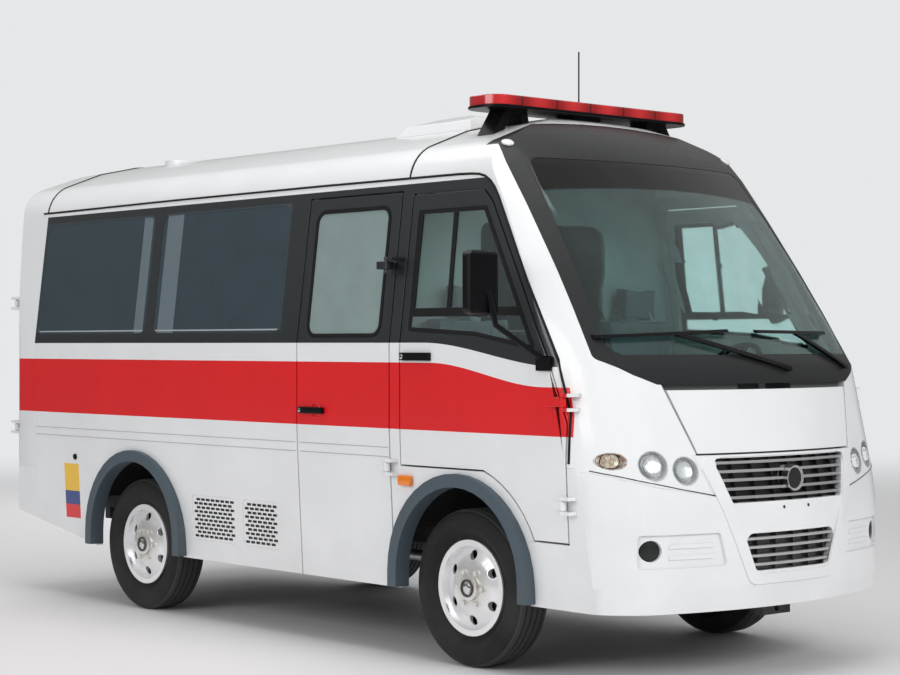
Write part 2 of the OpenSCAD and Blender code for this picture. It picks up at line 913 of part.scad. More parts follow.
module mirror_head(back) {
    x = mirror_at[0] - back - mirror_size[0] / 2;
    y = -mirror_at[1] - mirror_size[1] / 2;
    z = mirror_at[2] - mirror_size[2] / 2;
    intersection() {
        right_cut(rounded(box_pts(x, x + mirror_size[0], z, z + mirror_size[2]), mirror_r[0], 4),
            y, y + mirror_size[1]);
        along_x(rounded(box_pts(-y - mirror_size[1], -y, z, z + mirror_size[2]), mirror_r[1], 5),
            x, x + mirror_size[0]);
        translate([0, 0, z])
            linear_extrude(mirror_size[2])
            polygon(rounded(box_pts(x, x + mirror_size[0], -y - mirror_size[1], -y), mirror_r[0], 4));
    }
}

module cab_fittings(back) {
    mirror_head(back);
    difference() {
        union() {
            rod([arm_foot, arm_knee - [back / 2, 0, 0],
                mirror_at + [mirror_size[0] / 2 - 4 - back, 16, -arm_tip_drop]], arm_r);
            translate(arm_foot - foot_size / 2)
                cube(foot_size);
        }
        envelope(CAB, 0);
    }
    difference() {
        translate([handle_x[0], -half_w - handle_out, handle_z])
            cube([handle_x[1] - handle_x[0], 2 * handle_out, handle_h]);
        envelope(CAB, 0);
    }
}

module rod(pts, r) {
    for (i = [0 : len(pts) - 2]) {
        v = pts[i + 1] - pts[i];
        translate(pts[i])
            rotate([0, acos(v[2] / norm(v)), atan2(v[1], v[0])])
            cylinder(r = r, h = norm(v));
    }
    for (i = [1 : len(pts) - 2])
        translate(pts[i])
            sphere(r = r * 1.06);
}

module fittings_cab_right() {
    color([0.1, 0.1, 0.1])
        cab_fittings(0);
}

module fittings_cab_left() {
    color([0.1, 0.1, 0.1])
        to_left()
        cab_fittings(left_mirror_back);
}

module hinge_leaf_fixed(p, z) {
    hinge_fixed(p, z);
    for (s = [-1, 1])
        translate([p[0], p[1] - leaf_back, z + s * (hinge_ear_z + hinge_ear_h / 2) - hinge_ear_h / 2])
            cube([50, 150, hinge_ear_h]);
}

module door_hinges() {
    color([0.85, 0.85, 0.85])
        difference() {
            union() {
                for (s = [0, 1])
                    mirror([0, s, 0]) {
                        for (h = cab_hinges)
                            hinge_leaf_fixed([cab_axis[0], -cab_axis[1]], h[0]);
                        for (z = rear_hinge_z) {
                            hinge_fixed([rear_axis[0], -rear_axis[1]], z);
                            for (e = [-1, 1])
                                translate([rear_axis[0] - leaf_back, -rear_axis[1] - 40,
                                    z + e * (hinge_ear_z + hinge_ear_h / 2) - hinge_ear_h / 2])
                                    cube([150, 40, hinge_ear_h]);
                        }
                    }
                for (h = side_hinges)
                    hinge_leaf_fixed([side_axis[0], -side_axis[1]], h[0]);
            }
            envelope(CAB, 0);
        }
    color([0.85, 0.85, 0.85])
        for (s = [0, 1])
            mirror([0, s, 0])
            flap_lugs();
}

// wipers on the glass as [pivot, joint of arm and blade, blade ends], each [y, z]
wiper_table = [[[140, 1446], [-500, 1612], [-900, 1600], [-190, 1628]],
    [[700, 1452], [330, 1622], [10, 1626], [640, 1622]]];
wiper_out = 22;
wiper_w = [22, 16];
module strip(a, b, w) {
    along_x([a + turn(unit(b - a)) * w / 2, a - turn(unit(b - a)) * w / 2,
        b - turn(unit(b - a)) * w / 2, b + turn(unit(b - a)) * w / 2], 500, 1400);
}

module wipers() {
    color([0.05, 0.05, 0.05])
        intersection() {
            shell(NOSE, -wiper_out, 0);
            for (w = wiper_table) {
                strip(w[0], w[1], wiper_w[0]);
                strip(w[2], w[3], wiper_w[1]);
            }
        }
}

// beacon bar on two splayed feet
bar_x = -190;
bar_base_h = 14;
bar_lens_h = 50;
bar_low_z = roof_z + 6;
bar_end_r = 110;
bar_edge_r = 18;
bar_step = 8;
foot_x = [-250, -130];
foot_bottom_z = roof_z - 180;
// outline of one foot as [y, z]
foot_face = [[400, foot_bottom_z], [455, foot_bottom_z], [486, bar_low_z - 22], [548, bar_low_z - 22],
    [640, foot_bottom_z], [710, foot_bottom_z], [590, bar_low_z], [440, bar_low_z]];
foot_box_y = [-110, 90];
foot_box_h = 34;

module bar_plan(g, h) {
    linear_extrude(h)
        polygon(rounded(box_pts(bar_x - bar_w / 2 + g, bar_x + bar_w / 2 - g, -bar_l / 2 + g, bar_l / 2 - g),
            bar_end_r - g, 8));
}

module beacon_base() {
    color([0.08, 0.08, 0.08])
        difference() {
            union() {
                translate([0, 0, bar_low_z])
                    bar_plan(0, bar_base_h);
                for (s = [0, 1])
                    mirror([0, s, 0])
                    along_x(foot_face, foot_x[0], foot_x[1]);
                translate([foot_x[0], foot_box_y[0], bar_low_z - foot_box_h])
                    cube([foot_x[1] - foot_x[0], foot_box_y[1] - foot_box_y[0], foot_box_h]);
            }
            envelope(NOSE, 0);
        }
}

function lens_face(a, b, z) = rounded(box_pts(a, b, z - 2 * bar_edge_r, z + bar_lens_h), bar_edge_r, 4);

module beacon_lens() {
    z = bar_low_z + bar_base_h;
    color([0.75, 0.05, 0.05])
        intersection() {
            translate([0, 0, z])
                bar_plan(bar_step, bar_lens_h);
            both_cut(lens_face(bar_x - bar_w / 2, bar_x + bar_w / 2, z));
            along_x(lens_face(-bar_l / 2, bar_l / 2, z), bar_x - bar_w, bar_x + bar_w);
        }
}

whip_at = [-420, 218];
module antenna() {
    color([0.08, 0.08, 0.08])
        difference() {
            union() {
                translate([whip_at[0], whip_at[1], roof_z - 40])
                    cylinder(r = 22, h = 60);
                translate([whip_at[0], whip_at[1], roof_z])
                    cylinder(r = 4, h = whip_h);
            }
            envelope(WHOLE, 0);
        }
}

// roof bulge ahead of the seam and a small round vent at the rear
bulge_side = [[-1240, -60], [-1150, 4], [-960, 36], [-720, 44], [-640, 30], [-590, -60]];
bulge_face = [[-420, -90], [420, -90], [380, 10], [300, 44], [-300, 44], [-380, 10]];
round_vent = [-wheelbase - 570, -300];
round_vent_r = 110;
round_vent_top = roof_z - 14;
round_vent_h = 90;
module roof_vent() {
    color("white")
        difference() {
            union() {
                intersection() {
                    both_cut([for (p = bulge_side) p + [0, roof_z]]);
                    along_x([for (p = bulge_face) p + [0, roof_z]], -wheelbase, 0);
                }
                translate([round_vent[0], round_vent[1], round_vent_top - round_vent_h])
                    cylinder(r = round_vent_r, h = round_vent_h);
            }
            envelope(WHOLE, 0);
        }
}

module flare(x) {
    difference() {
        right_cut(arch_pts(x, arch_r - 30 + flare_w), half_w - 90, half_w + 22);
        right_cut(arch_pts(x, arch_r - 30), 600, 1200);
        envelope(CAB, 0);
        both_cut(box_pts(-far, far, -100, skirt_z + 10));
    }
    difference() {
        right_cut(arch_pts(x, arch_r - seat), half_w - 70, half_w + 22);
        right_cut(arch_pts(x, arch_r - 30), 600, 1200);
        both_cut(box_pts(-far, far, -100, skirt_z + 10));
    }
}

module arch_flares() {
    color([0.28, 0.34, 0.36])
        for (s = [0, 1])
            mirror([0, s, 0])
            for (x = axle_xs)
                flare(x);
}

// brick pattern of slots in the vents
slot = [38, 14];
slot_gap = [9, 9];
vent_rim = 12;
slot_deep = 12;
slot_rows = floor((vent_z[1] - vent_z[0] - 2 * vent_rim) / (slot[1] + slot_gap[1]));
module slots(i) {
    pitch = slot + slot_gap;
    columns = floor((vents[i][1] - vents[i][0] - 2 * vent_rim - pitch[0] / 2) / pitch[0]);
    for (r = [0 : slot_rows - 1])
        for (c = [0 : columns - 1]) {
            x = vents[i][0] + vent_rim + slot_gap[0] / 2 + (c + (r % 2) / 2) * pitch[0];
            z = vent_z[0] + vent_rim + slot_gap[1] / 2 + r * pitch[1];
            right_cut(box_pts(x, x + slot[0], z, z + slot[1]));
        }
}

module side_vents() {
    color([0.12, 0.12, 0.12])
        difference() {
            intersection() {
                shell(MID, 4, wall - 10);
                for (i = [0, 1])
                    right_cut(grow(vent_pts(i), -seat));
            }
            intersection() {
                shell(MID, 0, slot_deep);
                for (i = [0, 1])
                    slots(i);
            }
        }
}

module marker_lamps() {
    color([0.9, 0.5, 0.1])
        difference() {
            for (s = [0, 1])
                mirror([0, s, 0])
                translate([-440, -half_w - 14, 860])
                cube([100, 60, 56]);
            envelope(MID, 0);
        }
}

// chassis
rail_y = 400;
rail_w = 60;
rail_z = [500, 640];
floor_z = [640, 680];
cross_xs = [rear_x + 470, -wheelbase - 420, -wheelbase + 580, -1500, -700, 620];
frame_x = [rear_x + 160, nose_x - 110];
cross_h = 50;
tow_t = 60;
tow_w = 200;
tow_low = [288, 420];
eye_z = [316, 465];
module chassis_frame() {
    color([0.1, 0.1, 0.1])
        difference() {
            union() {
                for (s = [-1, 1])
                    translate([frame_x[0], s * rail_y - rail_w / 2, rail_z[0]])
                        cube([frame_x[1] - frame_x[0], rail_w, rail_z[1] - rail_z[0]]);
                for (x = cross_xs)
                    translate([x - 40, -rail_y, rail_z[1] - cross_h])
                        cube([80, 2 * rail_y, cross_h]);
                translate([frame_x[1] - tow_t, -rail_y, rail_z[0]])
                    cube([tow_t, 2 * rail_y, rail_z[1] - rail_z[0]]);
                translate([frame_x[1] - tow_t, -tow_w / 2, tow_low[0]])
                    cube([tow_t, tow_w, rail_z[0] - tow_low[0]]);
                translate([frame_x[0], -rail_y, tow_low[1]])
                    cube([tow_t, 2 * rail_y, rail_z[1] - tow_low[1]]);
            }
            translate([frame_x[1], 0, eye_z[0]])
                rotate([0, 90, 0])
                cylinder(r = eye_d / 2, h = 4 * tow_t, center = true);
            translate([frame_x[0], 0, eye_z[1]])
                rotate([0, 90, 0])
                cylinder(r = pin_d / 2, h = 4 * tow_t, center = true);
        }
}

housing_r = 500;
housing_t = 12;
housing_y = track / 2 - 380;
hump_x = [-560, 470];
hump_y = 360;
hump_z = 1010;
module housings(g) {
    for (s = [0, 1])
        mirror([0, s, 0])
        for (x = axle_xs)
            right_cut(arch_pts(x, housing_r + g), housing_y - g, 1300);
}

module floor_pan() {
    color([0.35, 0.36, 0.37])
        difference() {
            intersection() {
                envelope(CAB, wall);
                union() {
                    both_cut(box_pts(rear_x, 800, floor_z[0], floor_z[1]));
                    translate([hump_x[0], -hump_y, floor_z[0]])
                        cube([hump_x[1] - hump_x[0], 2 * hump_y, hump_z - floor_z[0]]);
                    intersection() {
                        housings(housing_t);
                        both_cut(box_pts(-far, far, floor_z[0], 1200));
                    }
                }
            }
            housings(0);
            translate([hump_x[0] + 15, -hump_y + 15, floor_z[0] - 10])
                cube([hump_x[1] - hump_x[0] - 30, 2 * hump_y - 30, hump_z - floor_z[0] - 5]);
            for (s = [0, 1])
                mirror([0, s, 0])
                right_cut(grow(cab_door_pts(), 20), half_w - tuck - wall - 20, 1300);
            right_cut(grow(side_door_pts(), 20), half_w - tuck - wall - 20, 1300);
            both_cut(box_pts(rear_x - 100, rear_x + wall + 20, 0, over_roof));
        }
}

// front axle, steering knuckles and wheels
kp_y = track / 2 - kingpin_in;
boss_r = 38;
boss_h = 110;
kp_r = 18;
ear_t = 30;
ear_gap = 5;
beam_z = axle_z - 20;
beam_h = 68;
module axle_front() {
    color([0.12, 0.12, 0.12])
        difference() {
            union() {
                translate([-35, -kp_y + 20, beam_z - beam_h / 2])
                    cube([70, 2 * kp_y - 40, beam_h]);
                for (s = [-1, 1])
                    translate([0, s * kp_y, axle_z - boss_h / 2])
                        cylinder(r = boss_r, h = boss_h);
            }
            for (s = [-1, 1])
                translate([0, s * kp_y, 0])
                    cylinder(r = kp_r + fit, h = 1000);
        }
}

plate_y = kp_y + boss_r + 12;
plate_t = 26;
module knuckle() {
    translate([0, -kp_y, axle_z - boss_h / 2 - ear_gap - ear_t])
        cylinder(r = kp_r, h = boss_h + 2 * ear_gap + 2 * ear_t);
    for (s = [-1, 1])
        translate([-30, -plate_y - plate_t, axle_z + s * (boss_h / 2 + ear_gap + ear_t / 2) - ear_t / 2])
            cube([60, plate_y + plate_t - kp_y + 26, ear_t]);
    translate([-45, -plate_y - plate_t, axle_z - boss_h / 2 - ear_gap - ear_t])
        cube([90, plate_t, boss_h + 2 * ear_gap + 2 * ear_t]);
    spindle(plate_y);
}

hub_in = track / 2 - 60;
hub_out = track / 2 + 92;
module spindle(y0) {
    translate([0, -y0, axle_z])
        rotate([90, 0, 0])
        cylinder(r = spindle_r, h = hub_out - y0 - 12);
}

module knuckle_right() {
    color([0.15, 0.15, 0.15])
        knuckle();
}

module knuckle_left() {
    color([0.15, 0.15, 0.15])
        to_left()
        knuckle();
}

// wheel turned from one profile, outer side towards +z of the profile
lip_r = rim_d / 2 + 12;
seat_r = rim_d / 2;
rim_half = 78;
disc_z = 52;
hub_r = 62;
stud_n = 6;
stud_circle = 86;
hole_circle = 158;
hole_r = 24;
module wheel() {
    difference() {
        union() {
            rotate_extrude()
                polygon([[seat_r - 26, -rim_half], [lip_r, -rim_half], [lip_r, -rim_half + 12],
                    [seat_r, -rim_half + 12], [seat_r, rim_half - 12], [lip_r, rim_half - 12],
                    [lip_r, rim_half], [seat_r - 18, rim_half], [seat_r - 18, rim_half - 40],
                    [seat_r - 40, disc_z - 8],
                    [130, disc_z + 14], [hub_r, disc_z + 22], [hub_r, hub_out - track / 2],
                    [spindle_r - 12, hub_out - track / 2 + 6], [0, hub_out - track / 2 + 6],
                    [0, -60], [150, -60], [150, 20], [seat_r - 44, disc_z - 24], [seat_r - 26, 0]]);
            for (k = [0 : stud_n - 1])
                rotate([0, 0, k * 360 / stud_n])
                translate([stud_circle, 0, disc_z])
                cylinder(r = 14, h = 36, $fn = 6);
        }
        translate([0, 0, -100])
            cylinder(r = spindle_r + fit, h = 100 + hub_out - track / 2 - 8);
        for (k = [0 : stud_n - 1])
            rotate([0, 0, (k + 0.5) * 360 / stud_n])
            translate([hole_circle, 0, 25])
            cylinder(r = hole_r, h = 100);
    }
}

shoulder = 26;
module tyre() {
    rotate_extrude()
        difference() {
            polygon(concat(
                [[seat_r + seat, -rim_half + 12 + seat], [lip_r + 14, -rim_half + 12 + seat]],
                [[axle_z - 90, -tyre_w / 2], [axle_z - 60, -tyre_w / 2], [axle_z - shoulder, -tyre_w / 2 + 8],
                 [axle_z - 6, -tyre_w / 2 + shoulder], [axle_z, -tyre_w / 2 + shoulder + 22],
                 [axle_z, tyre_w / 2 - shoulder - 22], [axle_z - 6, tyre_w / 2 - shoulder],
                 [axle_z - shoulder, tyre_w / 2 - 8], [axle_z - 60, tyre_w / 2], [axle_z - 90, tyre_w / 2]],
                [[lip_r + 14, rim_half - 12 - seat], [seat_r + seat, rim_half - 12 - seat]]));
            for (z = [-54, -18, 18, 54])
                translate([axle_z - 9, z - 4])
                    square([20, 8]);
        }
}

module wheel_at(x, s) {
    translate([x, s * track / 2, axle_z])
        rotate([-s * 90, 0, 0])
        children();
}

module wheel_front_right() {
    color([0.75, 0.76, 0.77])
        wheel_at(0, -1)
        wheel();
}

module wheel_front_left() {
    color([0.75, 0.76, 0.77])
        wheel_at(0, 1)
        wheel();
}

module wheel_rear_right() {
    color([0.75, 0.76, 0.77])
        wheel_at(-wheelbase, -1)
        wheel();
}

module wheel_rear_left() {
    color([0.75, 0.76, 0.77])
        wheel_at(-wheelbase, 1)
        wheel();
}

module tyre_front_right() {
    color([0.06, 0.06, 0.06])
        wheel_at(0, -1)
        tyre();
}

module tyre_front_left() {
    color([0.06, 0.06, 0.06])
        wheel_at(0, 1)
        tyre();
}

module tyre_rear_right() {
    color([0.06, 0.06, 0.06])
        wheel_at(-wheelbase, -1)
        tyre();
}

module tyre_rear_left() {
    color([0.06, 0.06, 0.06])
        wheel_at(-wheelbase, 1)
        tyre();
}

axle_tube_r = 50;
diff_r = 140;
module axle_rear() {
    color([0.12, 0.12, 0.12])
        translate([-wheelbase, 0, 0])
        union() {
            translate([0, hub_in - 20, axle_z])
                rotate([90, 0, 0])
                cylinder(r = axle_tube_r, h = 2 * (hub_in - 20));
            translate([0, 0, axle_z])
                sphere(r = diff_r);
            for (s = [0, 1])
                mirror([0, s, 0])
                spindle(hub_in - 60);
        }
}

// springs lie on the axles under the rails
spring_l = 560;
leaf_w = 56;
spring_t = 40;
module spring(x, z) {
    translate([x - spring_l, -rail_y - leaf_w / 2, z])
        cube([2 * spring_l, leaf_w, spring_t]);
    for (s = [-1, 1])
        translate([x + s * (spring_l - 40) - 25, -rail_y - leaf_w / 2, z + spring_t])
            cube([50, leaf_w, rail_z[0] - z - spring_t]);
}

module leaf_springs() {
    color([0.1, 0.1, 0.1])
        for (s = [0, 1])
            mirror([0, s, 0]) {
                spring(0, beam_z + beam_h / 2);
                difference() {
                    spring(-wheelbase, axle_z + axle_tube_r - 12);
                    translate([-wheelbase, 0, axle_z])
                        rotate([90, 0, 0])
                        cylinder(r = axle_tube_r + seat, h = 3000, center = true);
                }
            }
}

gear_x = -1100;
shaft_z = 490;
module powertrain() {
    color([0.3, 0.3, 0.3])
        union() {
            translate([-460, -290, 470])
                cube([860, 580, 500]);
            translate([-60, -rail_y + rail_w / 2, 540])
                cube([120, 2 * rail_y - rail_w, 50]);
            translate([gear_x, -130, 400])
                cube([640, 260, 180]);
            translate([gear_x, 0, shaft_z])
                rotate([0, -90 - atan2(shaft_z - axle_z, wheelbase + gear_x), 0])
                cylinder(r = 40, h = wheelbase + gear_x - diff_r - 20);
        }
}

tank_h = 255;
module fuel_tank() {
    color([0.13, 0.13, 0.13])
        translate([-wheelbase + 880, 440, floor_z[0] - tank_h])
        cube([900, 330, tank_h]);
}

pipe = [-wheelbase + 1480, -560, 450];
module exhaust() {
    color([0.35, 0.33, 0.3])
        union() {
            translate([pipe[0], pipe[1], pipe[2]])
                rotate([0, -90, 0])
                cylinder(r = 95, h = 620);
            rod([[-640, -134, pipe[2]], [-640, pipe[1], pipe[2]], [pipe[0] - 50, pipe[1], pipe[2]]], 28);
            rod([[pipe[0] - 590, pipe[1], pipe[2]], [pipe[0] - 840, pipe[1], pipe[2]]], 28);
            for (x = [120, 500])
                translate([pipe[0] - x - 15, pipe[1] - 20, pipe[2]])
                    cube([30, 40, floor_z[0] - pipe[2]]);
        }
}

dash_x = 560;
dash_y = 900;
dash_z = [1000, 1460];
neck_room = 28;
module dashboard() {
    color([0.25, 0.25, 0.26])
        difference() {
            intersection() {
                envelope(NOSE, wall);
                translate([dash_x, -dash_y, dash_z[0]])
                    cube([600, 2 * dash_y, dash_z[1] - dash_z[0]]);
                both_cut([[dash_x, dash_z[0]], [dash_x + 640, dash_z[0]], [dash_x + 640, dash_z[1]],
                    [dash_x + 140, dash_z[1] - 20], [dash_x, dash_z[1] - 130]]);
            }
            // room for the arms of the bonnet flap
            translate([flap_axis[0] + flap_neck[0] - neck_room, -flap_arm_y[1] - 2 * neck_room,
                flap_axis[1] + flap_neck[1] - neck_room])
                cube([400, 2 * flap_arm_y[1] + 4 * neck_room, 400]);
        }
}

wheel_c = [430, 450, 1400];
wheel_tilt = 52;
wheel_r = 205;
wheel_rim_r = 14;
wheel_boss = [60, 40];
spoke = [32, 16];
column_r = 30;
module steering_wheel() {
    color([0.08, 0.08, 0.08])
        difference() {
            translate(wheel_c)
                rotate([0, -wheel_tilt, 0])
                union() {
                    rotate_extrude()
                        translate([wheel_r, 0])
                        circle(r = wheel_rim_r);
                    cylinder(r = wheel_boss[0], h = wheel_boss[1], center = true);
                    for (k = [0 : 2])
                        rotate([0, 0, 120 * k])
                        translate([0, -spoke[0] / 2, -spoke[1] / 2])
                        cube([wheel_r, spoke[0], spoke[1]]);
                    translate([0, 0, -300])
                        cylinder(r = column_r, h = 300);
                }
            translate([dash_x, -dash_y, dash_z[0]])
                cube([600, 2 * dash_y, dash_z[1] - dash_z[0]]);
        }
}

seat_z = arch_z + housing_r + housing_t;
seat_x = -440;
seat_y = 620;
seat_size = [500, 480, 150];
seat_back = [130, 480, 600];
head_rest = [90, 260, 170];
module cab_seats() {
    color([0.3, 0.31, 0.33])
        for (s = [-1, 1])
            translate([seat_x, s * seat_y - seat_size[1] / 2, seat_z]) {
                cube(seat_size);
                translate([0, 0, seat_size[2]])
                    cube(seat_back);
                translate([(seat_back[0] - head_rest[0]) / 2, (seat_size[1] - head_rest[1]) / 2,
                    seat_size[2] + seat_back[2]])
                    cube(head_rest);
            }
}

bulkhead_x = [-492, -464];
bulkhead_window_y = 450;
module bulkhead() {
    color([0.6, 0.62, 0.63])
        difference() {
            intersection() {
                envelope(MID, wall);
                both_cut(box_pts(bulkhead_x[0], bulkhead_x[1], floor_z[1], over_roof));
            }
            along_x(rounded(box_pts(-bulkhead_window_y, bulkhead_window_y,
                window_z0 - 70, window_z1 - 115), 60, 5),
                bulkhead_x[0] - 300, 0);
            translate([hump_x[0], -hump_y, 0])
                cube([hump_x[1] - hump_x[0], 2 * hump_y, hump_z]);
        }
}

module in_frame() {
    translate([-shift_x, 0, 0])
        children();
}

in_frame() chassis_frame();
in_frame() floor_pan();
in_frame() side_wall_right();
in_frame() side_wall_left();
in_frame() roof_panel();
in_frame() front_cap();
in_frame() bumper_front();
in_frame() bonnet();
in_frame() windscreen_frame();
in_frame() windscreen();
in_frame() grilles();
in_frame() headlamps();
in_frame() rear_cap();
in_frame() bumper_rear();
in_frame() tail_lamps();
in_frame() door_cab_right();
in_frame() door_cab_left();
in_frame() door_side();
in_frame() door_rear_right();
in_frame() door_rear_left();
in_frame() glass_cab_right();
in_frame() glass_cab_left();
in_frame() glass_side_door();
in_frame() glass_rear_right();
in_frame() glass_rear_left();
in_frame() windows_right();
in_frame() windows_left();
in_frame() fittings_cab_right();
in_frame() fittings_cab_left();
in_frame() door_hinges();
in_frame() wipers();
in_frame() beacon_base();
in_frame() beacon_lens();
in_frame() antenna();
in_frame() roof_vent();
in_frame() arch_flares();
in_frame() side_vents();
in_frame() marker_lamps();
in_frame() axle_front();
in_frame() knuckle_right();
in_frame() knuckle_left();
in_frame() wheel_front_right();
in_frame() wheel_front_left();
in_frame() wheel_rear_right();
in_frame() wheel_rear_left();
in_frame() tyre_front_right();
in_frame() tyre_front_left();
in_frame() tyre_rear_right();
in_frame() tyre_rear_left();
in_frame() axle_rear();
in_frame() leaf_springs();
in_frame() powertrain();
in_frame() fuel_tank();
in_frame() exhaust();
in_frame() dashboard();
in_frame() steering_wheel();
in_frame() cab_seats();
in_frame() bulkhead();
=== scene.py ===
"""Looks of a van ambulance: paint, glass, lamps, wheels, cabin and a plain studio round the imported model."""

import json
import math

import bpy
from mathutils import Matrix, Vector
from mathutils.bvhtree import BVHTree

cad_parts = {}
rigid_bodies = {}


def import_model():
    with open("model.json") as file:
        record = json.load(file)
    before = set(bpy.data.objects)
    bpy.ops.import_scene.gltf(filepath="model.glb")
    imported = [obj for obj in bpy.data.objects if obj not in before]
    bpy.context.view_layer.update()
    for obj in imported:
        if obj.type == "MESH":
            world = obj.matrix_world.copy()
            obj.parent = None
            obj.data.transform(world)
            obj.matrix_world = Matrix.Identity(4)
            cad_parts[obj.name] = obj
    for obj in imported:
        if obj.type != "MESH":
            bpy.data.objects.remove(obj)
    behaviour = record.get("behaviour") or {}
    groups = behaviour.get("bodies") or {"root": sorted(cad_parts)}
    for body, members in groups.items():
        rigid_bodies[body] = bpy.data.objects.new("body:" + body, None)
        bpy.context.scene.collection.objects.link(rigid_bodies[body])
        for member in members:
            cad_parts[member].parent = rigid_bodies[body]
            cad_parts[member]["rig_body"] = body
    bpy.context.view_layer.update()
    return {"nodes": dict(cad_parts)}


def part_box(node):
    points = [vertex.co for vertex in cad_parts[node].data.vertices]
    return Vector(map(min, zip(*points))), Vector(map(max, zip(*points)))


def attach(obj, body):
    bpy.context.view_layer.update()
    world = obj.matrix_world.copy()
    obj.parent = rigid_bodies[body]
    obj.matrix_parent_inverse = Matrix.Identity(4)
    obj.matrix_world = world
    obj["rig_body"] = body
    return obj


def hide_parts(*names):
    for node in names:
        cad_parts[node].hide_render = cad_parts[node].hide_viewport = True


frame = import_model()

bl_info = {
    "name": "Van ambulance",
    "version": (1, 0, 0),
    "blender": (4, 5, 0),
    "location": "View3D > Sidebar > Ambulance",
    "description": "Paints and details the packed van ambulance",
    "category": "Object",
}


def middle(node):
    """Middle of a CAD node's box."""
    low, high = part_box(node)
    return (low + high) / 2


AXLE_X = middle("tyre_front_right").x
REAR_AXLE_X = middle("tyre_rear_right").x
AXLE_Z = middle("tyre_front_right").z
REAR_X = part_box("rear_cap")[0].x
HALF_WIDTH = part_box("side_wall_left")[1].y
ROOF_REAR_X, ROOF_FRONT_X = (corner.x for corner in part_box("roof_panel"))
WELD = 0.0004
FLAT_ANGLE = math.radians(0.4)
SIDES = {"right": -1, "left": 1}
WHEELS = ("front_right", "front_left", "rear_right", "rear_left")
FAR = 3.0
# roof seams as number of stretches, angle of their feet above level and height that the angle is seen from
SEAM_STEPS = 72
SEAM_FOOT = 17.5
SEAM_EYE = 2.1

# gutter along the roof and down the front pillar, as x from the front axle and height
GUTTER = ((-4.08, 2.395), (-2.6, 2.402), (-1.2, 2.402), (-0.1, 2.397), (-0.01, 2.394), (0.05, 2.389),
          (0.095, 2.376), (0.135, 2.352), (0.17, 2.318), (0.205, 2.270), (0.35, 2.032), (0.512, 1.768),
          (0.674, 1.495), (0.754, 1.25), (0.755, 1.02))
# seam under the headlamps, as distance from the middle and height
NOSE_SEAM = ((0.992, 0.992), (0.968, 0.983), (0.846, 0.948), (0.667, 0.908), (0.492, 0.874))
# handles and locks as x from the front axle, or y on the rear door, and height
REAR_LOCK = (-3.553, 0.874)
CAB_LOCK = (-0.396, 1.504)
SIDE_HANDLE = (-1.25, 1.219)
SIDE_HANDLE_LENGTH = 0.207
REAR_HANDLE = (-0.10, 1.20)
# middle of the mirror glass as distance from the middle of the vehicle and height
MIRROR_GLASS = (1.235, 1.85)
# round headlamps as distance from the middle, height and radius of the glass
HEADLAMPS = ((0.778, 1.014, 0.046), (0.626, 0.988, 0.044))
TURN_LAMP = (0.930, 1.036, 0.036)
FOG_LAMP = (0.808, 0.632, 0.044)
PLATE_BOLTS = ((-0.075, 0.805), (0.104, 0.805))
BROW_LAMP = (0.107, 0.798)
# bars of the cab door window as x and z of both ends, and width
CAB_WINDOW_BARS = {
    "divider": ((-0.372, 1.722), (0.425, 1.722), 0.042),
    "slider": ((-0.095, 2.215), (-0.085, 1.735), 0.030),
    "stile": ((-0.355, 2.215), (-0.358, 1.735), 0.036),
}
# painted shade: grey lines along the lower side that stand in for the shade of the panel seams, as height
SHADED_SEAM_LINES = {"upper": 1.047, "lower": 1.000}
GRILLE_SLATS = ((0.853, 5), (0.540, 4))
SLAT_PITCH = 0.040
SLAT_HEIGHT = 0.013
# plain badge as height and radii of its bright rim
BADGE = (0.937, 0.049, 0.0595)
# side panes with their dark borders as x of both ends, and heights
SIDE_PANES = ((-4.015, -2.79), (-2.655, -1.44))
SIDE_PANE_Z = (1.640, 2.325)
# pale curtains behind the side panes as x of both ends
CURTAINS = ((-2.895, -2.80), (-2.644, -2.481))
# plain decal on the right side as x of both ends and heights of its three stripes
DECAL_X = (-3.69, -3.52)
DECAL_Z = (0.495, 0.578, 0.662, 0.83)
# front ends of the red band on the doors and on their hinges
RED_FRONT = 0.772
HINGE_RED_FRONT = 0.785
# side wall at the vents as two pairs of height and distance from the middle
VENT_WALL = ((0.446, 0.995), (0.704, 1.009))
# vent faces deeper than this behind the wall face are painted black as shade
SLOT_DEPTH = 0.0065
# back of the wheel disc from the middle of the tyre; the wheel further in than this is painted black as shade
DISC_BACK = 0.036
# seal under the rear doors, short of the outer door edges by this much
SILL_END = 0.35
# dark top of the windscreen as height in the middle and drop towards the sides
SCREEN_TOP = (2.335, 0.05)


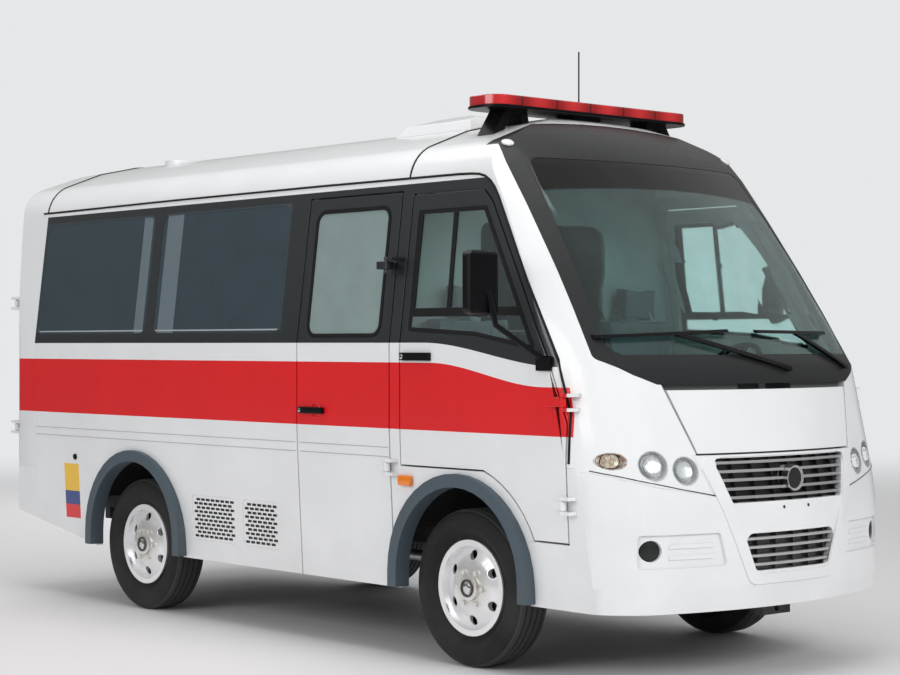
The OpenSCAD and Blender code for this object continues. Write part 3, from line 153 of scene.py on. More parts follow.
class PaintSettings(bpy.types.PropertyGroup):
    """Colours and heights of the paintwork."""

    white: bpy.props.FloatVectorProperty(
        name="White", description="Body colour", subtype="COLOR", default=(0.79, 0.80, 0.81))
    red: bpy.props.FloatVectorProperty(
        name="Red", description="Colour of the side band", subtype="COLOR", default=(0.72, 0.008, 0.011))
    dark: bpy.props.FloatVectorProperty(
        name="Window band", description="Colour round the side windows", subtype="COLOR",
        default=(0.020, 0.024, 0.027))
    pane: bpy.props.FloatVectorProperty(
        name="Pane border", description="Colour of the borders of the side panes", subtype="COLOR",
        default=(0.040, 0.056, 0.066))
    yellow: bpy.props.FloatVectorProperty(
        name="Yellow", description="Top stripe of the decal", subtype="COLOR", default=(0.86, 0.52, 0.04))
    blue: bpy.props.FloatVectorProperty(
        name="Blue", description="Middle stripe of the decal", subtype="COLOR", default=(0.02, 0.05, 0.22))
    red_low: bpy.props.FloatProperty(
        name="Red band low", description="Lower edge of the red band", default=1.142, unit="LENGTH")
    red_high: bpy.props.FloatProperty(
        name="Red band high", description="Upper edge of the red band", default=1.474, unit="LENGTH")
    red_dip: bpy.props.FloatProperty(
        name="Red band dip", description="Upper edge at the front of the cab door", default=1.367,
        unit="LENGTH")
    dark_low: bpy.props.FloatProperty(
        name="Window band low", description="Lower edge of the window band", default=1.572, unit="LENGTH")
    dark_dip: bpy.props.FloatProperty(
        name="Window band dip", description="Lower edge at the mirror foot", default=1.460, unit="LENGTH")
    dark_high: bpy.props.FloatProperty(
        name="Window band high", description="Upper edge of the window band", default=2.37, unit="LENGTH")
    dark_rear: bpy.props.FloatProperty(
        name="Window band rear", description="Rear end of the window band behind the front axle",
        default=-4.07, unit="LENGTH")


class TrimSettings(bpy.types.PropertyGroup):
    """Sizes of trim and window seals."""

    gutter_radius: bpy.props.FloatProperty(
        name="Gutter", description="Radius of the gutter bead", default=0.0065, unit="LENGTH")
    seam_radius: bpy.props.FloatProperty(
        name="Seam", description="Radius of the sealant in the roof seams", default=0.006, unit="LENGTH")
    # radius of the grey beads of painted seam shade along the lower side, also used for the nose seam
    line_radius: bpy.props.FloatProperty(
        name="Seam shade line", description="Radius of the lines along the lower side", default=0.0024,
        unit="LENGTH")
    seal_width: bpy.props.FloatProperty(
        name="Seal width", description="Width of the rubber round a window", default=0.020, unit="LENGTH")
    seal_rise: bpy.props.FloatProperty(
        name="Seal rise", description="Height of the rubber above the glass", default=0.005, unit="LENGTH")


class StudioSettings(bpy.types.PropertyGroup):
    """Floor, light and camera."""

    floor: bpy.props.FloatVectorProperty(
        name="Floor", description="Colour of the floor", subtype="COLOR", default=(0.78, 0.78, 0.79))
    sky: bpy.props.FloatVectorProperty(
        name="Background", description="Colour behind the vehicle", subtype="COLOR",
        default=(0.79, 0.80, 0.81))
    ambient: bpy.props.FloatProperty(name="Ambient", description="Light from all round", default=0.50, min=0)
    focal: bpy.props.FloatProperty(
        name="Focal length", description="Camera lens", default=80.55, unit="CAMERA")
    camera_from_axle: bpy.props.FloatVectorProperty(
        name="Camera", description="Camera place from the front axle line", subtype="XYZ",
        default=(7.2663, -7.4702, 1.5647))
    camera_pitch: bpy.props.FloatProperty(
        name="Camera pitch", description="Tilt above level", subtype="ANGLE", default=math.radians(0.192))
    camera_heading: bpy.props.FloatProperty(
        name="Camera heading", description="Turn from the vehicle's forward line", subtype="ANGLE",
        default=math.radians(138.654))


def paint_settings():
    return bpy.context.scene.ambulance_paint


def studio_settings():
    return bpy.context.scene.ambulance_studio


def trim_settings():
    return bpy.context.scene.ambulance_trim


def at(x, y, z):
    """Place given from the front axle on the ground."""
    return Vector((AXLE_X + x, y, z))


def deselect():
    """Leaves edit mode and selects nothing."""
    active = bpy.context.view_layer.objects.active
    if active is not None and active.mode != "OBJECT":
        bpy.ops.object.mode_set(mode="OBJECT")
    bpy.ops.object.select_all(action="DESELECT")


def activate(piece):
    """Makes one piece the only selected and active object."""
    deselect()
    piece.select_set(True)
    bpy.context.view_layer.objects.active = piece
    return piece


def edit_all(piece):
    """Enters edit mode with everything selected."""
    activate(piece)
    bpy.ops.object.mode_set(mode="EDIT")
    bpy.ops.mesh.select_all(action="SELECT")


def object_mode():
    bpy.ops.object.mode_set(mode="OBJECT")


def apply_modifiers(piece):
    """Applies the piece's modifiers in order."""
    activate(piece)
    for modifier in list(piece.modifiers):
        bpy.ops.object.modifier_apply(modifier=modifier.name)


def settle(piece):
    """Moves the object's place into its mesh."""
    activate(piece)
    bpy.ops.object.transform_apply(location=True, rotation=True, scale=True)
    return piece


def smooth(piece, degrees=30):
    activate(piece)
    bpy.ops.object.shade_smooth_by_angle(angle=math.radians(degrees))


def dress(piece, material, body):
    """Gives a piece its material, body and slot."""
    piece.data.materials.clear()
    piece.data.materials.append(material)
    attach(piece, body)
    return piece


def soften(piece, edge, segments=2, degrees=30):
    """Rounds the sharp edges of a piece and keeps its flat faces flat."""
    if edge > 0:
        bevel = piece.modifiers.new("edges", "BEVEL")
        bevel.width = edge
        bevel.segments = segments
        bevel.limit_method = "ANGLE"
        bevel.angle_limit = math.radians(degrees)
        bevel.use_clamp_overlap = False
        apply_modifiers(piece)
    smooth(piece, degrees)
    weigh = piece.modifiers.new("normals", "WEIGHTED_NORMAL")
    weigh.keep_sharp = True
    apply_modifiers(piece)


def copy_of(node, name):
    """Merged copy of a CAD node's mesh as a new object."""
    piece = bpy.data.objects.new(name, frame["nodes"][node].data.copy())
    piece.data.name = name
    bpy.context.scene.collection.objects.link(piece)
    edit_all(piece)
    bpy.ops.mesh.customdata_custom_splitnormals_clear()
    bpy.ops.mesh.remove_doubles(threshold=WELD)
    bpy.ops.mesh.dissolve_limited(angle_limit=FLAT_ANGLE)
    object_mode()
    return piece


def skin(node, material, edge=0.0025, degrees=30):
    """Smooth copy of a CAD node that stands for it."""
    piece = copy_of(node, node + "_skin")
    soften(piece, edge, degrees=degrees)
    dress(piece, material, frame["nodes"][node]["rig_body"])
    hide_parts(node)
    return piece


def finish(piece, material, body, edge=0.0, degrees=35):
    """Rounds, shades and dresses a new piece."""
    soften(piece, edge, degrees=degrees)
    return dress(piece, MATERIALS[material], body)


def surface(*nodes):
    """Search tree over the faces of CAD nodes."""
    points = []
    faces = []
    for node in nodes:
        mesh = frame["nodes"][node].data
        start = len(points)
        points += [vertex.co.copy() for vertex in mesh.vertices]
        faces += [[start + i for i in face.vertices] for face in mesh.polygons]
    return BVHTree.FromPolygons(points, faces)


def touch(tree, start, way):
    """Place and outward normal where a ray meets a surface."""
    place, normal, _, _ = tree.ray_cast(Vector(start), Vector(way))
    if place is None:
        raise RuntimeError("a ray finds no surface")
    if normal.dot(Vector(way)) > 0:
        normal = -normal
    return place, normal


def spread(points, parts):
    """Points of a line with each stretch cut into equal parts."""
    dense = [points[0]]
    for start, end in zip(points, points[1:]):
        for part in range(1, parts + 1):
            dense.append([a + (b - a) * part / parts for a, b in zip(start, end)])
    return dense


def across_gap(tree, start, way, aside):
    """Place on a surface over a seam, found from both of its sides."""
    return (touch(tree, start + aside, way)[0] + touch(tree, start - aside, way)[0]) / 2


def aim(direction):
    """Turn that points local Z along a direction."""
    return Vector(direction).to_track_quat("Z", "Y").to_euler()


def extrude(offset):
    bpy.ops.mesh.extrude_region_move(TRANSFORM_OT_translate={"value": offset})


def outward(piece):
    """Merges doubles and points all faces outwards."""
    edit_all(piece)
    bpy.ops.mesh.remove_doubles(threshold=0.0001)
    bpy.ops.mesh.normals_make_consistent(inside=False)
    object_mode()
    return piece


def repeat(piece, name, shift=(0.0, 0.0, 0.0), mirrored=False):
    """Copy of a new piece with its own mesh, moved, or moved and turned over to the left side."""
    activate(piece)
    bpy.ops.object.duplicate()
    copy = bpy.context.object
    copy.name = name
    copy.data.name = name
    edit_all(copy)
    bpy.ops.transform.translate(value=shift)
    if mirrored:
        bpy.ops.transform.resize(value=(1.0, -1.0, 1.0), center_override=(0.0, 0.0, 0.0))
        bpy.ops.mesh.normals_make_consistent(inside=False)
    object_mode()
    return copy


def pair(piece):
    """A new piece of the right side and its copy on the left, by side."""
    return {"right": piece, "left": repeat(piece, piece.name.replace("right", "left"), mirrored=True)}


def button(name, place, out, radius, height, crown=0.5, sides=32, stretch=1.0):
    """Round or oval piece with a domed face that stands on a surface."""
    out = Vector(out).normalized()
    deselect()
    bpy.ops.mesh.primitive_circle_add(
        vertices=sides, radius=radius, fill_type="NGON", location=place, rotation=aim(out))
    piece = settle(bpy.context.object)
    piece.name = name
    edit_all(piece)
    extrude(out * height * (1 - crown))
    for inset in (0.12, 0.22, 0.26):
        bpy.ops.mesh.inset(thickness=radius * inset)
        bpy.ops.transform.translate(value=out * height * crown / 3)
    bpy.ops.mesh.select_all(action="SELECT")
    bpy.ops.transform.resize(value=(stretch, stretch, 1.0), center_override=place)
    object_mode()
    return outward(piece)


def hoop(name, place, out, radius, section, stretch=1.0):
    """Ring: a small round section spun about an axis."""
    out = Vector(out).normalized()
    side = out.orthogonal().normalized()
    deselect()
    bpy.ops.mesh.primitive_circle_add(
        vertices=10, radius=section, fill_type="NOTHING", location=place + side * radius,
        rotation=aim(out.cross(side)))
    piece = settle(bpy.context.object)
    piece.name = name
    edit_all(piece)
    bpy.ops.mesh.spin(steps=40, angle=2 * math.pi, center=place, axis=out)
    bpy.ops.mesh.select_all(action="SELECT")
    bpy.ops.transform.resize(value=(stretch, stretch, 1.0), center_override=place)
    object_mode()
    return outward(piece)


def tube(name, points, radius, sides=8):
    """Round bead along points: a ring at each of them, bridged to the next."""
    points = [Vector(point) for point in points]
    ways = [(after - before).normalized() for before, after in zip(points, points[1:])]
    turns = [ways[0]] + [(a + b).normalized() for a, b in zip(ways, ways[1:])] + [ways[-1]]
    deselect()
    for i, (point, turn) in enumerate(zip(points, turns)):
        if i == 1:
            bpy.ops.object.mode_set(mode="EDIT")
        bpy.ops.mesh.primitive_circle_add(
            vertices=sides, radius=radius, fill_type="NOTHING", location=point, rotation=aim(turn))
        if i == 0:
            piece = settle(bpy.context.object)
            piece.name = name
    for i in range(len(points) - 1):
        pick_vertices(piece, range(i * sides, (i + 2) * sides))
        bpy.ops.mesh.bridge_edge_loops()
    for first in (0, (len(points) - 1) * sides):
        pick_vertices(piece, range(first, first + sides))
        bpy.ops.mesh.edge_face_add()
    object_mode()
    return outward(piece)


def pick_vertices(piece, wanted):
    """Selects vertices by number, in edit mode."""
    bpy.ops.mesh.select_mode(type="VERT")
    bpy.ops.mesh.select_all(action="DESELECT")
    object_mode()
    for i in wanted:
        piece.data.vertices[i].select = True
    bpy.ops.object.mode_set(mode="EDIT")


def rail(name, start, end, out, width, depth):
    """Flat bar between two points with rounded edges; its depth lies along out."""
    start = Vector(start)
    end = Vector(end)
    along = (end - start).normalized()
    side = Vector(out).cross(along).normalized()
    deselect()
    bpy.ops.mesh.primitive_plane_add(size=1.0, location=start)
    piece = bpy.context.object
    piece.name = name
    piece.rotation_euler = Matrix((side, along.cross(side), along)).transposed().to_euler()
    piece.scale = (width, depth, 1.0)
    settle(piece)
    edit_all(piece)
    extrude(end - start)
    bpy.ops.mesh.select_all(action="SELECT")
    bpy.ops.mesh.normals_make_consistent(inside=False)
    bpy.ops.mesh.bevel(offset=min(width, depth) * 0.25, segments=2)
    object_mode()
    return outward(piece)


def pick_faces(piece, test):
    """Selects the faces that pass a test, in edit mode."""
    edit_all(piece)
    bpy.ops.mesh.select_mode(type="FACE")
    bpy.ops.mesh.select_all(action="DESELECT")
    object_mode()
    for face in piece.data.polygons:
        face.select = test(face)
    bpy.ops.object.mode_set(mode="EDIT")


def seal(node, name, out, width, rise):
    """Rubber lip round a pane: the pane's outer face inset, opened and raised."""
    piece = copy_of(node, name)
    out = Vector(out)
    pick_faces(piece, lambda face: face.normal.dot(out) < 0.7)
    bpy.ops.mesh.delete(type="FACE")
    bpy.ops.mesh.select_all(action="SELECT")
    bpy.ops.mesh.inset(thickness=width, use_boundary=True)
    bpy.ops.mesh.delete(type="FACE")
    bpy.ops.mesh.select_all(action="SELECT")
    extrude(out * rise)
    object_mode()
    return outward(piece)


def cushion(name, low, high, up, crown, pull, channel):
    """Padded block: cut fine, crowned along one axis, drawn in at its sides and sewn along two channels."""
    low = Vector(low)
    high = Vector(high)
    heart = (low + high) / 2
    half = (high - low) / 2
    deselect()
    bpy.ops.mesh.primitive_cube_add(size=1.0, location=heart)
    piece = bpy.context.object
    piece.name = name
    piece.scale = high - low
    settle(piece)
    edit_all(piece)
    bpy.ops.mesh.subdivide(number_cuts=19)
    object_mode()
    across = [axis for axis in range(3) if axis != up]
    for vertex in piece.data.vertices:
        share = [(vertex.co[axis] - heart[axis]) / half[axis] for axis in range(3)]
        swell = max(0.0, (1 - share[across[0]] ** 2) * (1 - share[across[1]] ** 2))
        sewn = math.exp(-((abs(share[1]) - 0.48) / 0.05) ** 2)
        if share[up] > 0.9:
            vertex.co[up] += crown * swell ** 0.6 - channel * sewn
        for axis in across:
            other = across[1] if axis == across[0] else across[0]
            vertex.co[axis] -= pull * share[axis] * (1 - share[other] ** 2)
    rounded = piece.modifiers.new("soft", "SUBSURF")
    rounded.levels = 1
    rounded.render_levels = 1
    apply_modifiers(piece)
    smooth(piece, 180)
    return piece


class Nodes:
    """Short way to build a shader node tree."""

    def __init__(self, tree):
        self.tree = tree

    def add(self, kind, **settings):
        node = self.tree.nodes.new(kind)
        for key, value in settings.items():
            setattr(node, key, value)
        return node

    def feed(self, socket, value):
        if isinstance(value, bpy.types.NodeSocket):
            self.tree.links.new(value, socket)
        else:
            socket.default_value = value

    def math(self, operation, *values):
        node = self.add("ShaderNodeMath", operation=operation)
        for socket, value in zip(node.inputs, values):
            self.feed(socket, value)
        return node.outputs[0]

    def ramp(self, value, start, end, low, high, interpolation="LINEAR"):
        node = self.add("ShaderNodeMapRange", interpolation_type=interpolation)
        for socket, number in zip(node.inputs, (value, start, end, low, high)):
            self.feed(socket, number)
        return node.outputs[0]

    def above(self, value, limit):
        return self.math("GREATER_THAN", value, limit)

    def below(self, value, limit):
        return self.math("LESS_THAN", value, limit)

    def all_of(self, first, *others):
        for other in others:
            first = self.math("MULTIPLY", first, other)
        return first

    def mix(self, factor, first, second):
        node = self.add("ShaderNodeMix", data_type="RGBA")
        self.feed(node.inputs[0], factor)
        self.feed(node.inputs[6], first)
        self.feed(node.inputs[7], second)
        return node.outputs[2]

    def distance(self, first, second):
        """Length of the hypotenuse over two values."""
        squares = [self.math("MULTIPLY", value, value) for value in (first, second)]
        return self.math("SQRT", self.math("ADD", *squares))

    def place(self):
        """Object coordinates with x from the front axle, as x, y, z sockets."""
        coordinates = self.add("ShaderNodeTexCoord")
        split = self.add("ShaderNodeSeparateXYZ")
        self.tree.links.new(coordinates.outputs["Object"], split.inputs[0])
        x = self.math("SUBTRACT", split.outputs[0], AXLE_X)
        return x, split.outputs[1], split.outputs[2]

    def noise(self, scale, detail=3.0, roughness=0.5):
        coordinates = self.add("ShaderNodeTexCoord")
        node = self.add("ShaderNodeTexNoise")
        self.tree.links.new(coordinates.outputs["Object"], node.inputs["Vector"])
        node.inputs["Scale"].default_value = scale
        node.inputs["Detail"].default_value = detail
        node.inputs["Roughness"].default_value = roughness
        return node.outputs[0]

    def bump(self, height, strength, distance):
        node = self.add("ShaderNodeBump")
        node.inputs["Strength"].default_value = strength
        node.inputs["Distance"].default_value = distance
        self.tree.links.new(height, node.inputs["Height"])
        return node.outputs[0]


def new_group(name, inputs, outputs):
    """Shader node group with named sockets, as (group, Nodes, input node, output node)."""
    group = bpy.data.node_groups.new(name, "ShaderNodeTree")
    for label, kind in inputs:
        group.interface.new_socket(name=label, in_out="INPUT", socket_type=kind)
    for label, kind in outputs:
        group.interface.new_socket(name=label, in_out="OUTPUT", socket_type=kind)
    build = Nodes(group)
    return group, build, build.add("NodeGroupInput"), build.add("NodeGroupOutput")


def new_material(name, **values):
    """Material with one Principled shader, as (material, Nodes, shader)."""
    material = bpy.data.materials.new(name)
    material.use_nodes = True
    build = Nodes(material.node_tree)
    shader = next(n for n in material.node_tree.nodes if n.type == "BSDF_PRINCIPLED")
    for key, value in values.items():
        shader.inputs[key.replace("_", " ")].default_value = value
    return material, build, shader


def shade(colour):
    return (*colour, 1.0)


def make_soil_group():
    """Colour and roughness that vary a little over a surface, with dust near the ground."""
    group, build, given, out = new_group(
        "road_soil",
        [("Color", "NodeSocketColor"), ("Dust", "NodeSocketFloat"), ("Roughness", "NodeSocketFloat")],
        [("Color", "NodeSocketColor"), ("Roughness", "NodeSocketFloat")])
    height = build.place()[2]
    cloud = build.noise(2.3, 4.0)
    speck = build.noise(38.0, 2.0)
    low = build.ramp(height, 0.25, 0.95, 1.0, 0.0, "SMOOTHSTEP")
    dusty = build.all_of(low, build.ramp(cloud, 0.35, 0.75, 0.0, 1.0), given.outputs["Dust"])
    uneven = build.ramp(cloud, 0.3, 0.7, 0.0, 0.06)
    toned = build.mix(uneven, given.outputs["Color"], (0.0, 0.0, 0.0, 1.0))
    build.feed(out.inputs["Color"], build.mix(dusty, toned, (0.36, 0.34, 0.31, 1.0)))
    rough = build.math("ADD", given.outputs["Roughness"], build.ramp(speck, 0.3, 0.7, -0.02, 0.04))
    build.feed(out.inputs["Roughness"], build.math("ADD", rough, build.math("MULTIPLY", dusty, 0.3)))
    return group


def make_band_group(name, red_front):
    """Masks of the red band up to its front end, the dark band, the plain decal and the inner walls."""
    paint = paint_settings()
    group, build, _, out = new_group(
        name, [],
        [("Red", "NodeSocketFloat"), ("Dark", "NodeSocketFloat"), ("Inside", "NodeSocketFloat"),
         ("Yellow", "NodeSocketFloat"), ("Blue", "NodeSocketFloat"), ("Pane", "NodeSocketFloat")])
    x, y, z = build.place()
    side = build.math("ABSOLUTE", y)
    wall = build.ramp(z, 1.57, 2.39, HALF_WIDTH - 0.022, HALF_WIDTH - 0.122)
    skirt = build.ramp(z, 0.345, 1.0, HALF_WIDTH - 0.062, HALF_WIDTH - 0.028)
    outside = build.above(side, build.math("MINIMUM", wall, skirt))
    top = build.ramp(x, -0.2, 0.60, paint.red_high, paint.red_dip, "SMOOTHSTEP")
    tail = build.below(x, REAR_X - AXLE_X + 0.25)
    shown = build.math("MAXIMUM", outside, tail)
    red = build.all_of(build.above(z, paint.red_low), build.below(z, top), build.below(x, red_front), shown)
    low = build.ramp(x, -0.25, 0.70, paint.dark_low, paint.dark_dip, "SMOOTHSTEP")
    dark = build.all_of(build.above(z, low), build.below(z, paint.dark_high), build.above(x, paint.dark_rear),
                        outside)
    foot, blue_low, blue_high, head = DECAL_Z
    decal = build.all_of(build.above(x, DECAL_X[0]), build.below(x, DECAL_X[1]), build.below(y, 0.0),
                         build.above(z, foot), build.below(z, head), outside)
    yellow = build.all_of(decal, build.above(z, blue_high))
    blue = build.all_of(decal, build.below(z, blue_high), build.above(z, blue_low))
    red = build.math("MAXIMUM", red, build.all_of(decal, build.below(z, blue_low)))
    pane = 0.0
    for start, end in SIDE_PANES:
        pane = build.math("MAXIMUM", pane, build.all_of(build.above(x, start), build.below(x, end)))
    pane = build.all_of(pane, build.above(z, SIDE_PANE_Z[0]), build.below(z, SIDE_PANE_Z[1]), outside)
    build.feed(out.inputs["Pane"], pane)
    build.feed(out.inputs["Yellow"], yellow)
    build.feed(out.inputs["Blue"], blue)
    build.feed(out.inputs["Red"], red)
    build.feed(out.inputs["Dark"], dark)
    build.feed(out.inputs["Inside"], build.math("SUBTRACT", 1.0, shown))
    return group


def group_node(build, group, **values):
    node = build.add("ShaderNodeGroup", node_tree=group)
    for key, value in values.items():
        build.feed(node.inputs[key.replace("_", " ")], value)
    return node


def wear(build, shader, soil, colour, dust, roughness):
    """Feeds a soiled colour and roughness to a shader."""
    worn = group_node(build, soil, Color=colour, Dust=dust, Roughness=roughness)
    build.feed(shader.inputs["Base Color"], worn.outputs["Color"])
    build.feed(shader.inputs["Roughness"], worn.outputs["Roughness"])


MATERIALS = {}


def make_paint(name, soil, bands, with_dark):
    """Gloss coachwork with its painted bands."""
    paint = paint_settings()
    material, build, shader = new_material(name, Coat_Weight=0.4, Coat_Roughness=0.08, Coat_IOR=1.5)
    masks = group_node(build, bands)
    colour = build.mix(masks.outputs["Red"], shade(paint.white), shade(paint.red))
    if with_dark:
        colour = build.mix(masks.outputs["Yellow"], colour, shade(paint.yellow))
        colour = build.mix(masks.outputs["Blue"], colour, shade(paint.blue))
        colour = build.mix(masks.outputs["Dark"], colour, shade(paint.dark))
        colour = build.mix(masks.outputs["Pane"], colour, shade(paint.pane))
        colour = build.mix(masks.outputs["Inside"], colour, (0.60, 0.61, 0.61, 1.0))
    wear(build, shader, soil, colour, 0.12, 0.30)
    peel = build.noise(420.0, 1.0)
    build.feed(shader.inputs["Normal"], build.bump(peel, 0.02, 0.0004))
    return material


def make_plain(name, soil, colour, roughness, shine=0.5, dust=0.1, metallic=0.0, grain=220.0, relief=0.05,
               coat=0.0):
    """One-colour material with soil and a fine grain."""
    material, build, shader = new_material(
        name, Metallic=metallic, Specular_IOR_Level=shine, Coat_Weight=coat)
    wear(build, shader, soil, shade(colour), dust, roughness)
    build.feed(shader.inputs["Normal"], build.bump(build.noise(grain, 2.0), relief, 0.001))
    return material


def make_glass(name, colour, roughness=0.02, clear=1.0):
    """Tinted glass; less clear glass shows its own colour."""
    material, build, shader = new_material(name, Transmission_Weight=clear, IOR=1.45)
    smear = build.noise(5.0, 3.0)
    lighter = [min(1.0, 1.12 * part) for part in colour]
    tone = build.mix(build.ramp(smear, 0.3, 0.7, 0.0, 1.0), shade(colour), shade(lighter))
    build.feed(shader.inputs["Base Color"], tone)
    build.feed(shader.inputs["Roughness"], build.ramp(smear, 0.3, 0.8, roughness, roughness + 0.03))
    return material, build, shader, tone


def make_side_glass():
    """Dark side panes with pale curtains and a bright sill."""
    material, build, shader, tone = make_glass("tinted_glass", (0.055, 0.085, 0.102), 0.02, 0.4)
    x, y, z = build.place()
    curtain = 0.0
    for start, end in CURTAINS:
        curtain = build.math("MAXIMUM", curtain, build.all_of(build.above(x, start), build.below(x, end)))
    tone = build.mix(curtain, tone, (0.20, 0.26, 0.29, 1.0))
    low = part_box("windows_right")[0].z
    sill = build.all_of(build.above(z, low + 0.010), build.below(z, low + 0.018),
                        build.above(build.math("ABSOLUTE", y), 0.9))
    build.feed(shader.inputs["Base Color"], build.mix(sill, tone, (0.55, 0.58, 0.60, 1.0)))
    return material


def make_screen_glass():
    """Windscreen with a dark top."""
    material, build, shader, tone = make_glass("screen_glass", (0.46, 0.65, 0.63))
    _, y, z = build.place()
    height, drop = SCREEN_TOP
    edge = build.math("SUBTRACT", height, build.math("MULTIPLY", build.math("MULTIPLY", y, y), drop))
    dark = build.ramp(build.math("SUBTRACT", z, edge), -0.008, 0.004, 0.0, 1.0, "SMOOTHSTEP")
    build.feed(shader.inputs["Base Color"], build.mix(dark, tone, (0.012, 0.013, 0.013, 1.0)))
    return material


def make_vent(soil):
    """White vent panels, with painted shade: black on the slot walls that lie deeper than SLOT_DEPTH behind
    the wall face.
    """
    material, build, shader = new_material("vent_paint", Coat_Weight=0.3)
    _, y, z = build.place()
    (low, wall_low), (high, wall_high) = VENT_WALL
    wall = build.ramp(z, low, high, wall_low, wall_high)
    depth = build.math("SUBTRACT", wall, build.math("ABSOLUTE", y))
    # painted shade: faces deeper than SLOT_DEPTH behind the wall face are painted black, for the shade inside
    # the slots
    slot = build.above(depth, SLOT_DEPTH)
    colour = build.mix(slot, shade(paint_settings().white), (0.006, 0.006, 0.006, 1.0))
    wear(build, shader, soil, colour, 0.12, 0.35)
    return material


def make_grille(soil):
    """Silver slats and badge rim on black."""
    material, build, shader = new_material("grille_bars", Coat_Weight=0.2)
    _, y, z = build.place()
    silver = 0.0
    for first, count in GRILLE_SLATS:
        row = build.math("FRACT", build.math("DIVIDE", build.math("SUBTRACT", z, first), SLAT_PITCH))
        slat = build.all_of(build.below(row, SLAT_HEIGHT / SLAT_PITCH), build.above(z, first - 0.002),
                            build.below(z, first + count * SLAT_PITCH))
        silver = build.math("MAXIMUM", silver, slat)
    badge_z, rim_low, rim_high = BADGE
    rise = build.math("SUBTRACT", z, badge_z)
    away = build.distance(y, rise)
    rim = build.all_of(build.above(away, rim_low), build.below(away, rim_high))
    silver = build.math("MULTIPLY", silver, build.above(away, rim_high))
    silver = build.math("MAXIMUM", silver, rim)
    colour = build.mix(silver, (0.012, 0.012, 0.013, 1.0), (0.62, 0.63, 0.64, 1.0))
    wear(build, shader, soil, colour, 0.2, 0.3)
    build.feed(shader.inputs["Metallic"], build.math("MULTIPLY", silver, 0.7))
    return material


def make_lamp_bowl(soil):
    """Silvered bowls of the headlamps and dark fog lamps below them."""
    material, build, shader = new_material("lamp_bowl")
    _, y, z = build.place()
    bright = build.above(z, 0.8)
    colour = build.mix(bright, (0.006, 0.006, 0.007, 1.0), (0.70, 0.72, 0.73, 1.0))
    turn = build.all_of(build.above(build.math("ABSOLUTE", y), 0.862), build.above(z, 0.9))
    speck = build.ramp(build.noise(55.0, 3.0), 0.40, 0.60, 0.0, 0.8)
    colour = build.mix(build.math("MULTIPLY", turn, speck), colour, (0.42, 0.20, 0.08, 1.0))
    wear(build, shader, soil, colour, 0.0, 0.25)
    build.feed(shader.inputs["Metallic"], build.math("MULTIPLY", bright, 0.35))
    return material


def make_tail_lens(soil):
    """Tail lamp lens: amber at the top, red in the middle and clear at the foot, with dark joints."""
    material, build, shader = new_material("tail_lens", Coat_Weight=0.8, Coat_Roughness=0.05)
    z = build.place()[2]
    low, high = (corner.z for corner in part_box("tail_lamps"))
    third = (high - low) / 3
    colour = build.mix(build.above(z, low + third), (0.62, 0.63, 0.62, 1.0), (0.36, 0.006, 0.009, 1.0))
    colour = build.mix(build.above(z, high - third), colour, (0.85, 0.22, 0.01, 1.0))
    for joint in (low + third, high - third):
        near = build.below(build.math("ABSOLUTE", build.math("SUBTRACT", z, joint)), 0.004)
        colour = build.mix(near, colour, (0.01, 0.01, 0.01, 1.0))
    wear(build, shader, soil, colour, 0.0, 0.16)
    flute = build.math("SINE", build.math("MULTIPLY", z, 900.0))
    build.feed(shader.inputs["Normal"], build.bump(flute, 0.12, 0.001))
    return material


def make_beacon(soil):
    """Red moulded lens in sections, with dark joints, a painted glow that lightens the middle of each section
    as if a bulb lit it, and fine upright flutes.
    """
    material, build, shader = new_material("beacon_red", Coat_Weight=1.0, Coat_Roughness=0.05)
    _, y, _ = build.place()
    part = build.math("FRACT", build.math("DIVIDE", build.math("ADD", y, 2.0), 0.243))
    joint = build.below(part, 0.035)
    # painted glow: each section's red is lighter towards its middle, as if lit from inside; no lamp lights it
    from_bulb = build.math("ABSOLUTE", build.math("SUBTRACT", part, 0.52))
    painted_glow = build.ramp(from_bulb, 0.0, 0.5, 1.0, 0.0, "SMOOTHSTEP")
    colour = build.mix(painted_glow, (0.30, 0.006, 0.008, 1.0), (0.62, 0.024, 0.026, 1.0))
    colour = build.mix(joint, colour, (0.08, 0.003, 0.004, 1.0))
    wear(build, shader, soil, colour, 0.0, 0.18)
    flute = build.math("SINE", build.math("MULTIPLY", y, 700.0))
    build.feed(shader.inputs["Normal"], build.bump(flute, 0.15, 0.001))
    return material


def about_hub(build):
    """Distance from the nearer axle, angle about it and place along it from the tyre's middle, as sockets."""
    x, y, z = build.place()
    rear = build.below(x, (REAR_AXLE_X - AXLE_X) / 2)
    along = build.math("SUBTRACT", x, build.math("MULTIPLY", rear, REAR_AXLE_X - AXLE_X))
    rise = build.math("SUBTRACT", z, AXLE_Z)
    away = build.distance(along, rise)
    front_y = abs(middle("tyre_front_right").y)
    rear_y = abs(middle("tyre_rear_right").y)
    middle_y = build.math("ADD", build.math("MULTIPLY", rear, rear_y - front_y), front_y)
    out = build.math("SUBTRACT", build.math("ABSOLUTE", y), middle_y)
    return away, build.math("ARCTAN2", rise, along), out


def make_wheel(soil):
    """Silver disc, yellowed near the hub, with a bright lip, and painted shade: black on the wheel behind the
    disc, seen through its holes.
    """
    material, build, shader = new_material(
        "wheel_silver", Metallic=0.6, Roughness=0.27)
    away, _, out = about_hub(build)
    yellowed = build.math("MULTIPLY", build.ramp(away, 0.07, 0.14, 0.6, 0.0), build.noise(26.0, 4.0))
    colour = build.mix(yellowed, (0.92, 0.92, 0.93, 1.0), (0.52, 0.45, 0.31, 1.0))
    colour = build.mix(build.above(away, 0.206), colour, (0.96, 0.96, 0.97, 1.0))
    # painted shade: faces behind the disc and inside the rim are painted black, for the shade seen through the
    # holes
    behind = build.all_of(build.below(out, DISC_BACK), build.below(away, 0.2))
    colour = build.mix(behind, colour, (0.010, 0.010, 0.010, 1.0))
    worn = group_node(build, soil, Color=colour, Dust=0.04, Roughness=0.28)
    build.feed(shader.inputs["Base Color"], worn.outputs["Color"])
    return material


